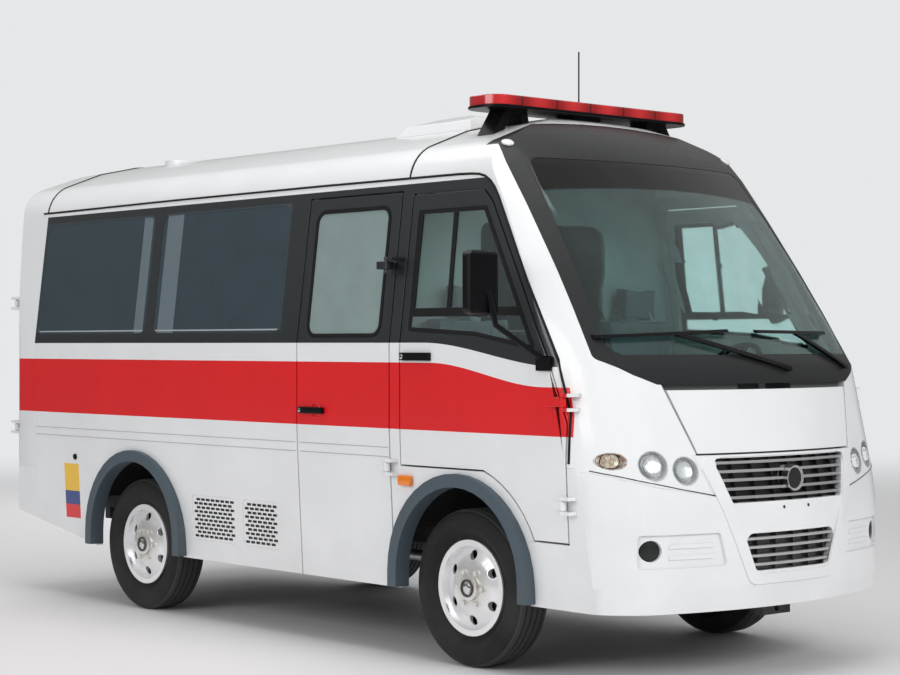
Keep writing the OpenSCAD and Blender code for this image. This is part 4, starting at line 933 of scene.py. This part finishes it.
def make_tyre(soil):
    """Dull rubber with sipes across the tread and fine rings on the side wall."""
    material, build, shader = new_material("tyre", Specular_IOR_Level=0.25)
    away, turn, _ = about_hub(build)
    sipe = build.math("FRACT", build.math("MULTIPLY", turn, 150.0 / math.tau))
    tread = build.above(away, AXLE_Z - 0.012)
    cut = build.all_of(build.below(sipe, 0.3), tread)
    ring = build.math("SINE", build.math("MULTIPLY", away, 900.0))
    rings = build.all_of(build.math("SUBTRACT", 1.0, tread), build.math("MULTIPLY", ring, 0.06))
    height = build.math("ADD", build.math("MULTIPLY", cut, -1.0), rings)
    rubber = build.mix(tread, (0.011, 0.011, 0.012, 1.0),
                       (0.045, 0.047, 0.046, 1.0))
    wear(build, shader, soil, rubber, 0.10, 0.62)
    build.feed(shader.inputs["Normal"], build.bump(height, 0.8, 0.004))
    return material


def make_materials():
    """All finishes of the vehicle, kept by name."""
    soil = make_soil_group()
    bands = make_band_group("side_bands", RED_FRONT)
    MATERIALS["side_paint"] = make_paint("side_paint", soil, bands, True)
    MATERIALS["shell_paint"] = make_paint("shell_paint", soil, bands, False)
    MATERIALS["hinge_paint"] = make_paint(
        "hinge_paint", soil, make_band_group("hinge_bands", HINGE_RED_FRONT), True)
    MATERIALS["vent_paint"] = make_vent(soil)
    plain = [
        # name, colour, roughness, shine, dust, metallic, grain, relief
        ("dark_panel", (0.018, 0.019, 0.020), 0.34, 0.35, 0.0, 0.0, 300.0, 0.01),
        ("black_plastic", (0.004, 0.004, 0.005), 0.33, 0.18, 0.05, 0.0, 260.0, 0.05),
        ("flare_rubber", (0.066, 0.092, 0.114), 0.45, 0.4, 0.10, 0.0, 320.0, 0.10),
        ("lamp_white", (0.80, 0.81, 0.80), 0.25, 0.5, 0.0, 0.0, 200.0, 0.02),
        # painted shade: grey of the beads that stand in for the shaded panel seams along the lower side
        ("line_grey", (0.42, 0.43, 0.44), 0.40, 0.4, 0.1, 0.0, 300.0, 0.03),
        ("seal_rubber", (0.008, 0.008, 0.009), 0.50, 0.22, 0.1, 0.0, 300.0, 0.06),
        ("seam_dark", (0.010, 0.010, 0.011), 0.55, 0.2, 0.0, 0.0, 300.0, 0.05),
        ("hub_iron", (0.060, 0.058, 0.055), 0.55, 0.5, 0.6, 0.6, 140.0, 0.12),
        ("chassis_black", (0.014, 0.014, 0.015), 0.60, 0.3, 0.3, 0.0, 90.0, 0.15),
        ("iron", (0.07, 0.067, 0.063), 0.62, 0.4, 0.4, 0.6, 120.0, 0.25),
        ("steel", (0.50, 0.50, 0.50), 0.35, 0.5, 0.3, 1.0, 200.0, 0.05),
        ("bright_metal", (0.74, 0.75, 0.76), 0.14, 0.5, 0.1, 1.0, 240.0, 0.02),
        ("floor_dark", (0.016, 0.016, 0.017), 0.70, 0.2, 0.1, 0.0, 150.0, 0.10),
        ("cab_grey", (0.16, 0.17, 0.17), 0.55, 0.4, 0.0, 0.0, 260.0, 0.12),
        ("seat_cloth", (0.22, 0.23, 0.25), 0.85, 0.3, 0.0, 0.0, 900.0, 0.30),
        ("lining", (0.60, 0.62, 0.62), 0.70, 0.4, 0.0, 0.0, 120.0, 0.08),
    ]
    for name, colour, roughness, shine, dust, metallic, grain, relief in plain:
        MATERIALS[name] = make_plain(name, soil, colour, roughness, shine, dust, metallic, grain, relief)
    MATERIALS["grille_bars"] = make_grille(soil)
    MATERIALS["lamp_bowl"] = make_lamp_bowl(soil)
    MATERIALS["beacon_red"] = make_beacon(soil)
    MATERIALS["tyre"] = make_tyre(soil)
    MATERIALS["wheel_silver"] = make_wheel(soil)
    MATERIALS["tinted_glass"] = make_side_glass()
    MATERIALS["screen_glass"] = make_screen_glass()
    MATERIALS["misted_glass"] = make_glass("misted_glass", (0.30, 0.385, 0.38), 0.12, 0.35)[0]
    MATERIALS["cab_glass"] = make_glass("cab_glass", (0.82, 1.0, 0.96))[0]
    MATERIALS["lamp_clear"] = make_glass("lamp_clear", (0.95, 0.96, 0.97))[0]
    MATERIALS["lamp_turn"] = make_glass("lamp_turn", (0.97, 0.88, 0.80))[0]
    MATERIALS["tail_lens"] = make_tail_lens(soil)
    MATERIALS["lamp_amber"] = make_plain("lamp_amber", soil, (0.85, 0.22, 0.01), 0.16, relief=0.02, coat=0.8)


class AMBULANCE_OT_studio(bpy.types.Operator):
    """Pale floor, soft lamps and the camera"""

    bl_idname = "ambulance.studio"
    bl_label = "Studio"

    def execute(self, context):
        settings = studio_settings()
        deselect()
        bpy.ops.mesh.primitive_circle_add(vertices=96, radius=24.0, fill_type="NGON", location=(0, 0, 0))
        floor = context.object
        floor.name = "studio_floor"
        material, build, shader = new_material("studio_floor", Roughness=0.6)
        shader.inputs["Base Color"].default_value = shade(settings.floor)
        shader.inputs["Specular IOR Level"].default_value = 0.25
        x, y, _ = build.place()
        away = build.distance(x, y)
        clear = build.add("ShaderNodeBsdfTransparent")
        fade = build.add("ShaderNodeMixShader")
        below = build.add("ShaderNodeNewGeometry").outputs["Backfacing"]
        gone = build.math("MAXIMUM", build.ramp(away, 7.0, 20.0, 0.0, 1.0, "SMOOTHSTEP"), below)
        build.feed(fade.inputs[0], gone)
        build.feed(fade.inputs[1], shader.outputs[0])
        build.feed(fade.inputs[2], clear.outputs[0])
        output = next(n for n in material.node_tree.nodes if n.type == "OUTPUT_MATERIAL")
        build.feed(output.inputs["Surface"], fade.outputs[0])
        floor.data.materials.append(material)
        self.light_world(context, settings)
        self.add_lamps()
        self.add_camera(context, settings)
        return {"FINISHED"}

    def light_world(self, context, settings):
        world = bpy.data.worlds.new("studio_air")
        world.use_nodes = True
        context.scene.world = world
        build = Nodes(world.node_tree)
        light = next(n for n in world.node_tree.nodes if n.type == "BACKGROUND")
        light.inputs["Color"].default_value = (1.0, 1.0, 1.0, 1.0)
        light.inputs["Strength"].default_value = settings.ambient
        seen = build.add("ShaderNodeBackground")
        seen.inputs["Color"].default_value = shade(settings.sky)
        path = build.add("ShaderNodeLightPath")
        direct = build.math("MAXIMUM", path.outputs["Is Camera Ray"], path.outputs["Is Transmission Ray"])
        choose = build.add("ShaderNodeMixShader")
        build.feed(choose.inputs[0], direct)
        build.feed(choose.inputs[1], light.outputs[0])
        build.feed(choose.inputs[2], seen.outputs[0])
        way = build.add("ShaderNodeSeparateXYZ")
        build.feed(way.inputs[0], build.add("ShaderNodeTexCoord").outputs["Generated"])
        mirrored = build.add("ShaderNodeBackground")
        rising = build.ramp(way.outputs[2], 0.0, 0.7, 0.14, 0.75, "SMOOTHSTEP")
        build.feed(mirrored.inputs["Strength"], rising)
        gloss = build.add("ShaderNodeMixShader")
        through = build.math("SUBTRACT", 1.0, path.outputs["Is Transmission Ray"])
        build.feed(gloss.inputs[0], build.math("MULTIPLY", path.outputs["Is Glossy Ray"], through))
        build.feed(gloss.inputs[1], choose.outputs[0])
        build.feed(gloss.inputs[2], mirrored.outputs[0])
        output = next(n for n in world.node_tree.nodes if n.type == "OUTPUT_WORLD")
        build.feed(output.inputs["Surface"], gloss.outputs[0])

    def add_lamps(self):
        lamps = [
            # name, place, target, width, height, watts, seen in reflections
            ("top_box", (0.0, -1.0, 7.0), (0.0, 0.0, 1.0), 8.0, 4.0, 175.0, True),
            ("side_box", (1.5, -9.0, 4.2), (0.0, 0.0, 1.4), 7.0, 3.0, 240.0, True),
            ("front_box", (9.5, -1.0, 4.5), (1.5, 0.0, 1.2), 4.0, 3.0, 300.0, False),
            ("rear_box", (-8.0, 5.0, 5.0), (-1.0, 0.0, 1.2), 5.0, 3.0, 200.0, False),
        ]
        for name, place, target, width, height, watts, mirrored in lamps:
            data = bpy.data.lights.new(name, "AREA")
            data.shape = "RECTANGLE"
            data.size = width
            data.size_y = height
            data.energy = watts
            lamp = bpy.data.objects.new(name, data)
            lamp.location = place
            lamp.visible_glossy = mirrored
            lamp.rotation_euler = (Vector(target) - Vector(place)).to_track_quat("-Z", "Y").to_euler()
            bpy.context.scene.collection.objects.link(lamp)

    def add_camera(self, context, settings):
        data = bpy.data.cameras.new("front_corner_view")
        data.lens = settings.focal
        camera = bpy.data.objects.new("front_corner_view", data)
        camera.location = Vector(settings.camera_from_axle) + Vector((AXLE_X, 0, 0))
        level = math.pi / 2
        camera.rotation_euler = (level + settings.camera_pitch, 0.0, settings.camera_heading - level)
        context.scene.collection.objects.link(camera)
        context.scene.camera = camera
        context.scene.view_settings.view_transform = "Standard"


class AMBULANCE_OT_coachwork(bpy.types.Operator):
    """Painted walls, doors, roof, caps and bumpers"""

    bl_idname = "ambulance.coachwork"
    bl_label = "Coachwork"

    def execute(self, context):
        for node in ("side_wall_right", "side_wall_left", "door_side", "door_cab_right", "door_cab_left"):
            skin(node, MATERIALS["side_paint"])
        for node in ("roof_panel", "front_cap", "bumper_front", "bonnet", "rear_cap", "bumper_rear",
                     "door_rear_right", "door_rear_left"):
            skin(node, MATERIALS["shell_paint"])
        skin("windscreen_frame", MATERIALS["dark_panel"])
        return {"FINISHED"}


class AMBULANCE_OT_trim(bpy.types.Operator):
    """Gutters, seams, grey lines of painted seam shade along the lower side, rear sill, plate bolts and brow
    lamps
    """

    bl_idname = "ambulance.trim"
    bl_label = "Trim"

    def execute(self, context):
        trim = trim_settings()
        self.add_gutters(trim.gutter_radius)
        for side, sign in SIDES.items():
            self.add_lines(side, sign, trim.line_radius)
        roof = surface("roof_panel", "front_cap", "rear_cap")
        for name, x in (("front", ROOF_FRONT_X), ("rear", ROOF_REAR_X)):
            points = []
            for step in range(SEAM_STEPS + 1):
                angle = math.radians(SEAM_FOOT + step * (180 - 2 * SEAM_FOOT) / SEAM_STEPS)
                spoke = Vector((0.0, math.cos(angle), math.sin(angle)))
                start = Vector((x, 0.0, SEAM_EYE)) + FAR * spoke
                points.append(across_gap(roof, start, -spoke, Vector((0.008, 0.0, 0.0))))
            finish(tube("roof_seam_" + name, points, trim.seam_radius), "seam_dark", "vehicle")
        self.add_front()
        self.add_rear_sill()
        return {"FINISHED"}

    def add_gutters(self, radius):
        shell = surface("side_wall_right", "front_cap", "roof_panel", "rear_cap", "bumper_front")
        points = [touch(shell, at(x, -FAR, z), (0, 1, 0))[0] for x, z in spread(GUTTER, 3)]
        for bead in pair(tube("gutter_right", points, radius)).values():
            finish(bead, "seam_dark", "vehicle")

    def add_lines(self, side, sign, radius):
        stretches = [("side_wall_" + side, "vehicle", -4.02, -0.52)]
        if side == "right":
            stretches = [("side_wall_right", "vehicle", -4.02, -1.30),
                         ("door_side", "door_side", -1.26, -0.53)]
        for node, body, start, end in stretches:
            wall = surface(node)
            for name, z in SHADED_SEAM_LINES.items():
                points = [touch(wall, at(x, FAR * sign, z), (0, -sign, 0))[0] for x in (start, end)]
                # painted shade: grey beads stand in for the shade in the panel seams along the lower side
                finish(tube(f"line_{name}_{node}", points, radius), "line_grey", body)

    def add_front(self):
        radius = trim_settings().line_radius
        nose = surface("bumper_front", "front_cap")
        points = []
        for y, z in spread(NOSE_SEAM, 6):
            points.append(across_gap(nose, at(FAR, -y, z), (-1, 0, 0), Vector((0.0, 0.0, 0.006))))
        for bead in pair(tube("nose_seam_right", points, radius)).values():
            finish(bead, "seam_dark", "vehicle")
        place, out = touch(surface("side_wall_right"), at(REAR_LOCK[0], -FAR, REAR_LOCK[1]), (0, 1, 0))
        lock = button("rear_lock", place - out * 0.001, out, 0.018, 0.014, 0.4, 20)
        finish(lock, "black_plastic", "vehicle")
        self.add_plate_bolts(nose)
        self.add_brow_lamps()

    def add_rear_sill(self):
        """Rubber that closes the gap under the rear doors from inside."""
        door_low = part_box("door_rear_right")[0]
        inside = touch(surface("bumper_rear"), (AXLE_X, -0.3, door_low.z - 0.02), (-1, 0, 0))[0].x
        reach = Vector((0.0, -door_low.y - SILL_END, 0.0))
        foot = Vector((inside + 0.009, 0.0, door_low.z - 0.020))
        lip = Vector((inside + 0.014, 0.0, door_low.z + 0.006))
        base = rail("rear_sill", foot - reach, foot + reach, (1, 0, 0), 0.022, 0.018)
        flap = rail("rear_sill_lip", lip - reach, lip + reach, (1, 0, 0), 0.050, 0.008)
        activate(base)
        flap.select_set(True)
        bpy.ops.object.join()
        finish(base, "seal_rubber", "vehicle")

    def add_plate_bolts(self, nose):
        (place, out), (other, _) = [touch(nose, at(FAR, y, z), (-1, 0, 0)) for y, z in PLATE_BOLTS]
        bolt = button("plate_bolt_right", place - out * 0.001, out, 0.008, 0.004, 0.4, 12)
        for piece in (bolt, repeat(bolt, "plate_bolt_left", other - place)):
            finish(piece, "hub_iron", "vehicle")

    def add_brow_lamps(self):
        x, y = BROW_LAMP
        place, out = touch(surface("windscreen_frame", "front_cap"), at(x, -y, FAR + 1.0), (0, 0, -1))
        lamp = button("brow_lamp_right", place - out * 0.003, out, 0.024, 0.016, 0.6, 24, 1.3)
        for piece in pair(lamp).values():
            finish(piece, "lamp_white", "vehicle")


class AMBULANCE_OT_glazing(bpy.types.Operator):
    """Window panes, their seals and the bars of the cab windows"""

    bl_idname = "ambulance.glazing"
    bl_label = "Glazing"

    def execute(self, context):
        trim = trim_settings()
        panes = [
            # node, material, way out, body
            ("glass_rear_right", "tinted_glass", (-1, 0, 0), "door_rear_right"),
            ("glass_rear_left", "tinted_glass", (-1, 0, 0), "door_rear_left"),
            ("glass_side_door", "misted_glass", (0, -1, 0), "door_side"),
            ("glass_cab_right", "cab_glass", (0, -1, 0), "door_cab_right"),
            ("glass_cab_left", "cab_glass", (0, 1, 0), "door_cab_left"),
        ]
        for node, material, out, body in panes:
            skin(node, MATERIALS[material], 0.0)
            lip = seal(node, "seal_" + node, out, trim.seal_width, trim.seal_rise)
            finish(lip, "seal_rubber", body)
        for side in SIDES:
            skin("windows_" + side, MATERIALS["tinted_glass"], 0.0)
        skin("windscreen", MATERIALS["screen_glass"], 0.0)
        pane = surface("glass_cab_right")
        for name, (start, end, width) in CAB_WINDOW_BARS.items():
            ends = [touch(pane, at(x, -FAR, z), (0, 1, 0)) for x, z in (start, end)]
            bar = rail(f"window_{name}_right", ends[0][0], ends[1][0], ends[0][1], width, 0.012)
            for side, piece in pair(bar).items():
                finish(piece, "seal_rubber", "door_cab_" + side)
        return {"FINISHED"}


class AMBULANCE_OT_lamps(bpy.types.Operator):
    """Headlamps, turn lamps, fog lamps, tail lamps and markers"""

    bl_idname = "ambulance.lamps"
    bl_label = "Lamps"

    def execute(self, context):
        bowls = surface("headlamps")
        for i, (y, z, radius) in enumerate(HEADLAMPS):
            place, out = touch(bowls, at(FAR, -y, z), (-1, 0, 0))
            glass = button(f"headlamp_glass_right_{i}", place + out * 0.001, out, radius, 0.018, 0.8, 40)
            rim = hoop(f"headlamp_rim_right_{i}", place + out * 0.002, out, radius + 0.001, 0.0025)
            self.finish_pair(glass, "lamp_clear", "lamp_clear")
            self.finish_pair(rim, "bright_metal", "steel")
        y, z, radius = TURN_LAMP
        place, out = touch(bowls, at(FAR, -y, z), (-1, 0, 0))
        glass = button("turn_glass_right", place + out * 0.001, out, radius, 0.014, 0.7, 32, 1.2)
        rim = hoop("turn_rim_right", place + out * 0.002, out, radius + 0.001, 0.002, 1.2)
        self.finish_pair(glass, "lamp_turn", "lamp_clear")
        self.finish_pair(rim, "seal_rubber", "black_plastic")
        y, z, radius = FOG_LAMP
        place, out = touch(bowls, at(FAR, -y, z), (-1, 0, 0))
        glass = button("fog_glass_right", place + out * 0.001, out, radius, 0.012, 0.7, 32)
        self.finish_pair(glass, "dark_panel", "lamp_clear")
        skin("headlamps", MATERIALS["lamp_bowl"], 0.0015)
        skin("tail_lamps", MATERIALS["tail_lens"], 0.003)
        skin("marker_lamps", MATERIALS["lamp_amber"], 0.012)
        return {"FINISHED"}

    def finish_pair(self, piece, material, slot):
        for each in pair(piece).values():
            finish(each, material, "vehicle")


class AMBULANCE_OT_fittings(bpy.types.Operator):
    """Grilles, mirrors, handles, hinges, flares, wipers and roof gear"""

    bl_idname = "ambulance.fittings"
    bl_label = "Fittings"

    def execute(self, context):
        plan = [
            # node, material, edge
            ("grilles", "grille_bars", 0.0012), ("fittings_cab_right", "black_plastic", 0.003),
            ("fittings_cab_left", "black_plastic", 0.003), ("door_hinges", "hinge_paint", 0.002),
            ("wipers", "black_plastic", 0.002), ("beacon_base", "black_plastic", 0.003),
            ("beacon_lens", "beacon_red", 0.003), ("antenna", "black_plastic", 0.0),
            ("roof_vent", "shell_paint", 0.003), ("arch_flares", "flare_rubber", 0.004),
            ("side_vents", "vent_paint", 0.0),
        ]
        for node, material, edge in plan:
            skin(node, MATERIALS[material], edge)
        self.add_side_handle()
        self.add_cab_locks()
        self.add_mirror_glasses()
        self.add_rear_handle()
        return {"FINISHED"}

    def add_side_handle(self):
        door = surface("door_side")
        start, out = touch(door, at(SIDE_HANDLE[0], -FAR, SIDE_HANDLE[1]), (0, 1, 0))
        end = start + Vector((SIDE_HANDLE_LENGTH, 0.0, 0.0))
        dish = hoop("side_handle_dish", (start + end) / 2 + Vector((0.03, 0.0, 0.0)), out, 0.036, 0.004)
        finish(dish, "side_paint", "door_side")
        grip = rail("side_handle_grip", start + out * 0.012, end + out * 0.012, out, 0.034, 0.022)
        finish(grip, "black_plastic", "door_side")
        place = start + out * 0.022 + Vector((0.018, 0.0, 0.0))
        lock = button("side_handle_lock", place, out, 0.011, 0.004, 0.4, 20)
        finish(lock, "bright_metal", "door_side")

    def add_cab_locks(self):
        place, out = touch(surface("fittings_cab_right"), at(CAB_LOCK[0], -FAR, CAB_LOCK[1]), (0, 1, 0))
        lock = button("cab_lock_right", place - out * 0.001, out, 0.013, 0.005, 0.4, 20)
        for side, piece in pair(lock).items():
            finish(piece, "bright_metal", "door_cab_" + side)

    def add_mirror_glasses(self):
        """The left mirror sits further back than the right one."""
        backs = {}
        for side, sign in SIDES.items():
            head = surface("fittings_cab_" + side)
            backs[side] = touch(head, at(-FAR, sign * MIRROR_GLASS[0], MIRROR_GLASS[1]), (1, 0, 0))
        place, out = backs["right"]
        back = Vector((backs["left"][0].x - place.x, 0.0, 0.0))
        reach = Vector((0.0, 0.0, 0.125))
        glass = rail("mirror_glass_right", place - reach, place + reach, out, 0.150, 0.006)
        glasses = {"right": glass, "left": repeat(glass, "mirror_glass_left", back, mirrored=True)}
        for side, piece in glasses.items():
            finish(piece, "bright_metal", "door_cab_" + side)

    def add_rear_handle(self):
        door = surface("door_rear_right")
        place, out = touch(door, at(-2 * FAR, *REAR_HANDLE), (1, 0, 0))
        reach = Vector((0.0, 0.0, 0.09))
        lifted = place + out * 0.012
        grip = rail("rear_handle_grip", lifted - reach, lifted + reach, out, 0.032, 0.022)
        finish(grip, "black_plastic", "door_rear_right")


class AMBULANCE_OT_wheels(bpy.types.Operator):
    """Tyres, wheel discs and hub caps"""

    bl_idname = "ambulance.wheels"
    bl_label = "Wheels"

    def execute(self, context):
        for place in WHEELS:
            skin("wheel_" + place, MATERIALS["wheel_silver"], 0.002)
            skin("tyre_" + place, MATERIALS["tyre"], 0.002)
        self.add_hubs()
        return {"FINISHED"}

    def hub_face(self, place):
        """Middle of a wheel's outer face and its way out."""
        sign = -1 if place.endswith("right") else 1
        hub = middle("tyre_" + place)
        return touch(surface("wheel_" + place), (hub.x, FAR * sign, hub.z), (0, -sign, 0))

    def add_hubs(self):
        first, out = self.hub_face(WHEELS[0])
        cap = button("hub_cap_" + WHEELS[0], first - out * 0.001, out, 0.026, 0.008, 0.5, 32)
        ring = hoop("hub_ring_" + WHEELS[0], first + out * 0.001, out, 0.038, 0.006)
        hubs = {WHEELS[0]: (cap, ring)}
        for place in WHEELS[1:]:
            face = self.hub_face(place)[0]
            shift = Vector((face.x - first.x, abs(first.y) - abs(face.y), 0.0))
            mirrored = place.endswith("left")
            hubs[place] = (repeat(cap, "hub_cap_" + place, shift, mirrored),
                           repeat(ring, "hub_ring_" + place, shift, mirrored))
        for place, (cap, ring) in hubs.items():
            finish(cap, "bright_metal", "wheel_" + place)
            finish(ring, "hub_iron", "wheel_" + place)


class AMBULANCE_OT_cabin(bpy.types.Operator):
    """Dashboard, padded seats, steering wheel and bulkhead"""

    bl_idname = "ambulance.cabin"
    bl_label = "Cabin"

    def execute(self, context):
        skin("dashboard", MATERIALS["cab_grey"], 0.015)
        skin("steering_wheel", MATERIALS["black_plastic"], 0.0)
        skin("bulkhead", MATERIALS["lining"], 0.004)
        skin("floor_pan", MATERIALS["floor_dark"], 0.0)
        self.add_seats()
        return {"FINISHED"}

    def add_seats(self):
        low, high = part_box("cab_seats")
        outer = -high.y + 0.006
        inner = -high.y + 0.474
        quarter = (inner - outer) / 4
        pads = [
            # name, low corner, high corner, crowned axis, crown, depth of the sewn channels
            ("base", (low.x + 0.10, outer, low.z), (low.x + 0.495, inner, low.z + 0.135), 2, 0.022, 0.009),
            ("back", (low.x + 0.006, outer, low.z + 0.13),
             (low.x + 0.115, inner, low.z + 0.745), 0, 0.018, 0.009),
            ("head", (low.x + 0.024, outer + quarter, low.z + 0.752),
             (low.x + 0.10, inner - quarter, low.z + 0.915), 0, 0.012, 0.0),
        ]
        for name, lower, upper, up, crown, channel in pads:
            pad = cushion(f"seat_{name}_right", lower, upper, up, crown, 0.012, channel)
            for piece in pair(pad).values():
                dress(piece, MATERIALS["seat_cloth"], "vehicle")
                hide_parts("cab_seats")


class AMBULANCE_OT_underbody(bpy.types.Operator):
    """Frame, axles, springs, engine, tank and exhaust"""

    bl_idname = "ambulance.underbody"
    bl_label = "Underbody"

    def execute(self, context):
        plan = [
            # node, material
            ("chassis_frame", "chassis_black"), ("axle_front", "chassis_black"),
            ("axle_rear", "chassis_black"), ("knuckle_right", "iron"), ("knuckle_left", "iron"),
            ("leaf_springs", "iron"),
            ("powertrain", "iron"), ("fuel_tank", "chassis_black"), ("exhaust", "steel"),
        ]
        for node, material in plan:
            skin(node, MATERIALS[material], 0.003)
        return {"FINISHED"}


OPERATORS = (
    AMBULANCE_OT_studio,
    AMBULANCE_OT_coachwork,
    AMBULANCE_OT_trim,
    AMBULANCE_OT_glazing,
    AMBULANCE_OT_lamps,
    AMBULANCE_OT_fittings,
    AMBULANCE_OT_wheels,
    AMBULANCE_OT_cabin,
    AMBULANCE_OT_underbody,
)


class AMBULANCE_PT_panel(bpy.types.Panel):
    """Lists the steps and settings of the ambulance"""

    bl_label = "Ambulance"
    bl_idname = "AMBULANCE_PT_panel"
    bl_space_type = "VIEW_3D"
    bl_region_type = "UI"
    bl_category = "Ambulance"

    def draw(self, context):
        for operator in OPERATORS:
            self.layout.operator(operator.bl_idname)
        for settings in (paint_settings(), trim_settings(), studio_settings()):
            for name in settings.__annotations__:
                self.layout.prop(settings, name)


CLASSES = (PaintSettings, TrimSettings, StudioSettings, *OPERATORS, AMBULANCE_PT_panel)


def register():
    for item in CLASSES:
        bpy.utils.register_class(item)
    bpy.types.Scene.ambulance_paint = bpy.props.PointerProperty(type=PaintSettings)
    bpy.types.Scene.ambulance_trim = bpy.props.PointerProperty(type=TrimSettings)
    bpy.types.Scene.ambulance_studio = bpy.props.PointerProperty(type=StudioSettings)


def unregister():
    del bpy.types.Scene.ambulance_studio
    del bpy.types.Scene.ambulance_trim
    del bpy.types.Scene.ambulance_paint
    for item in reversed(CLASSES):
        bpy.utils.unregister_class(item)


def main():
    register()
    make_materials()
    bpy.ops.ambulance.studio()
    bpy.ops.ambulance.coachwork()
    bpy.ops.ambulance.trim()
    bpy.ops.ambulance.glazing()
    bpy.ops.ambulance.lamps()
    bpy.ops.ambulance.fittings()
    bpy.ops.ambulance.wheels()
    bpy.ops.ambulance.cabin()
    bpy.ops.ambulance.underbody()
    deselect()


if __name__ == "__main__":
    main()
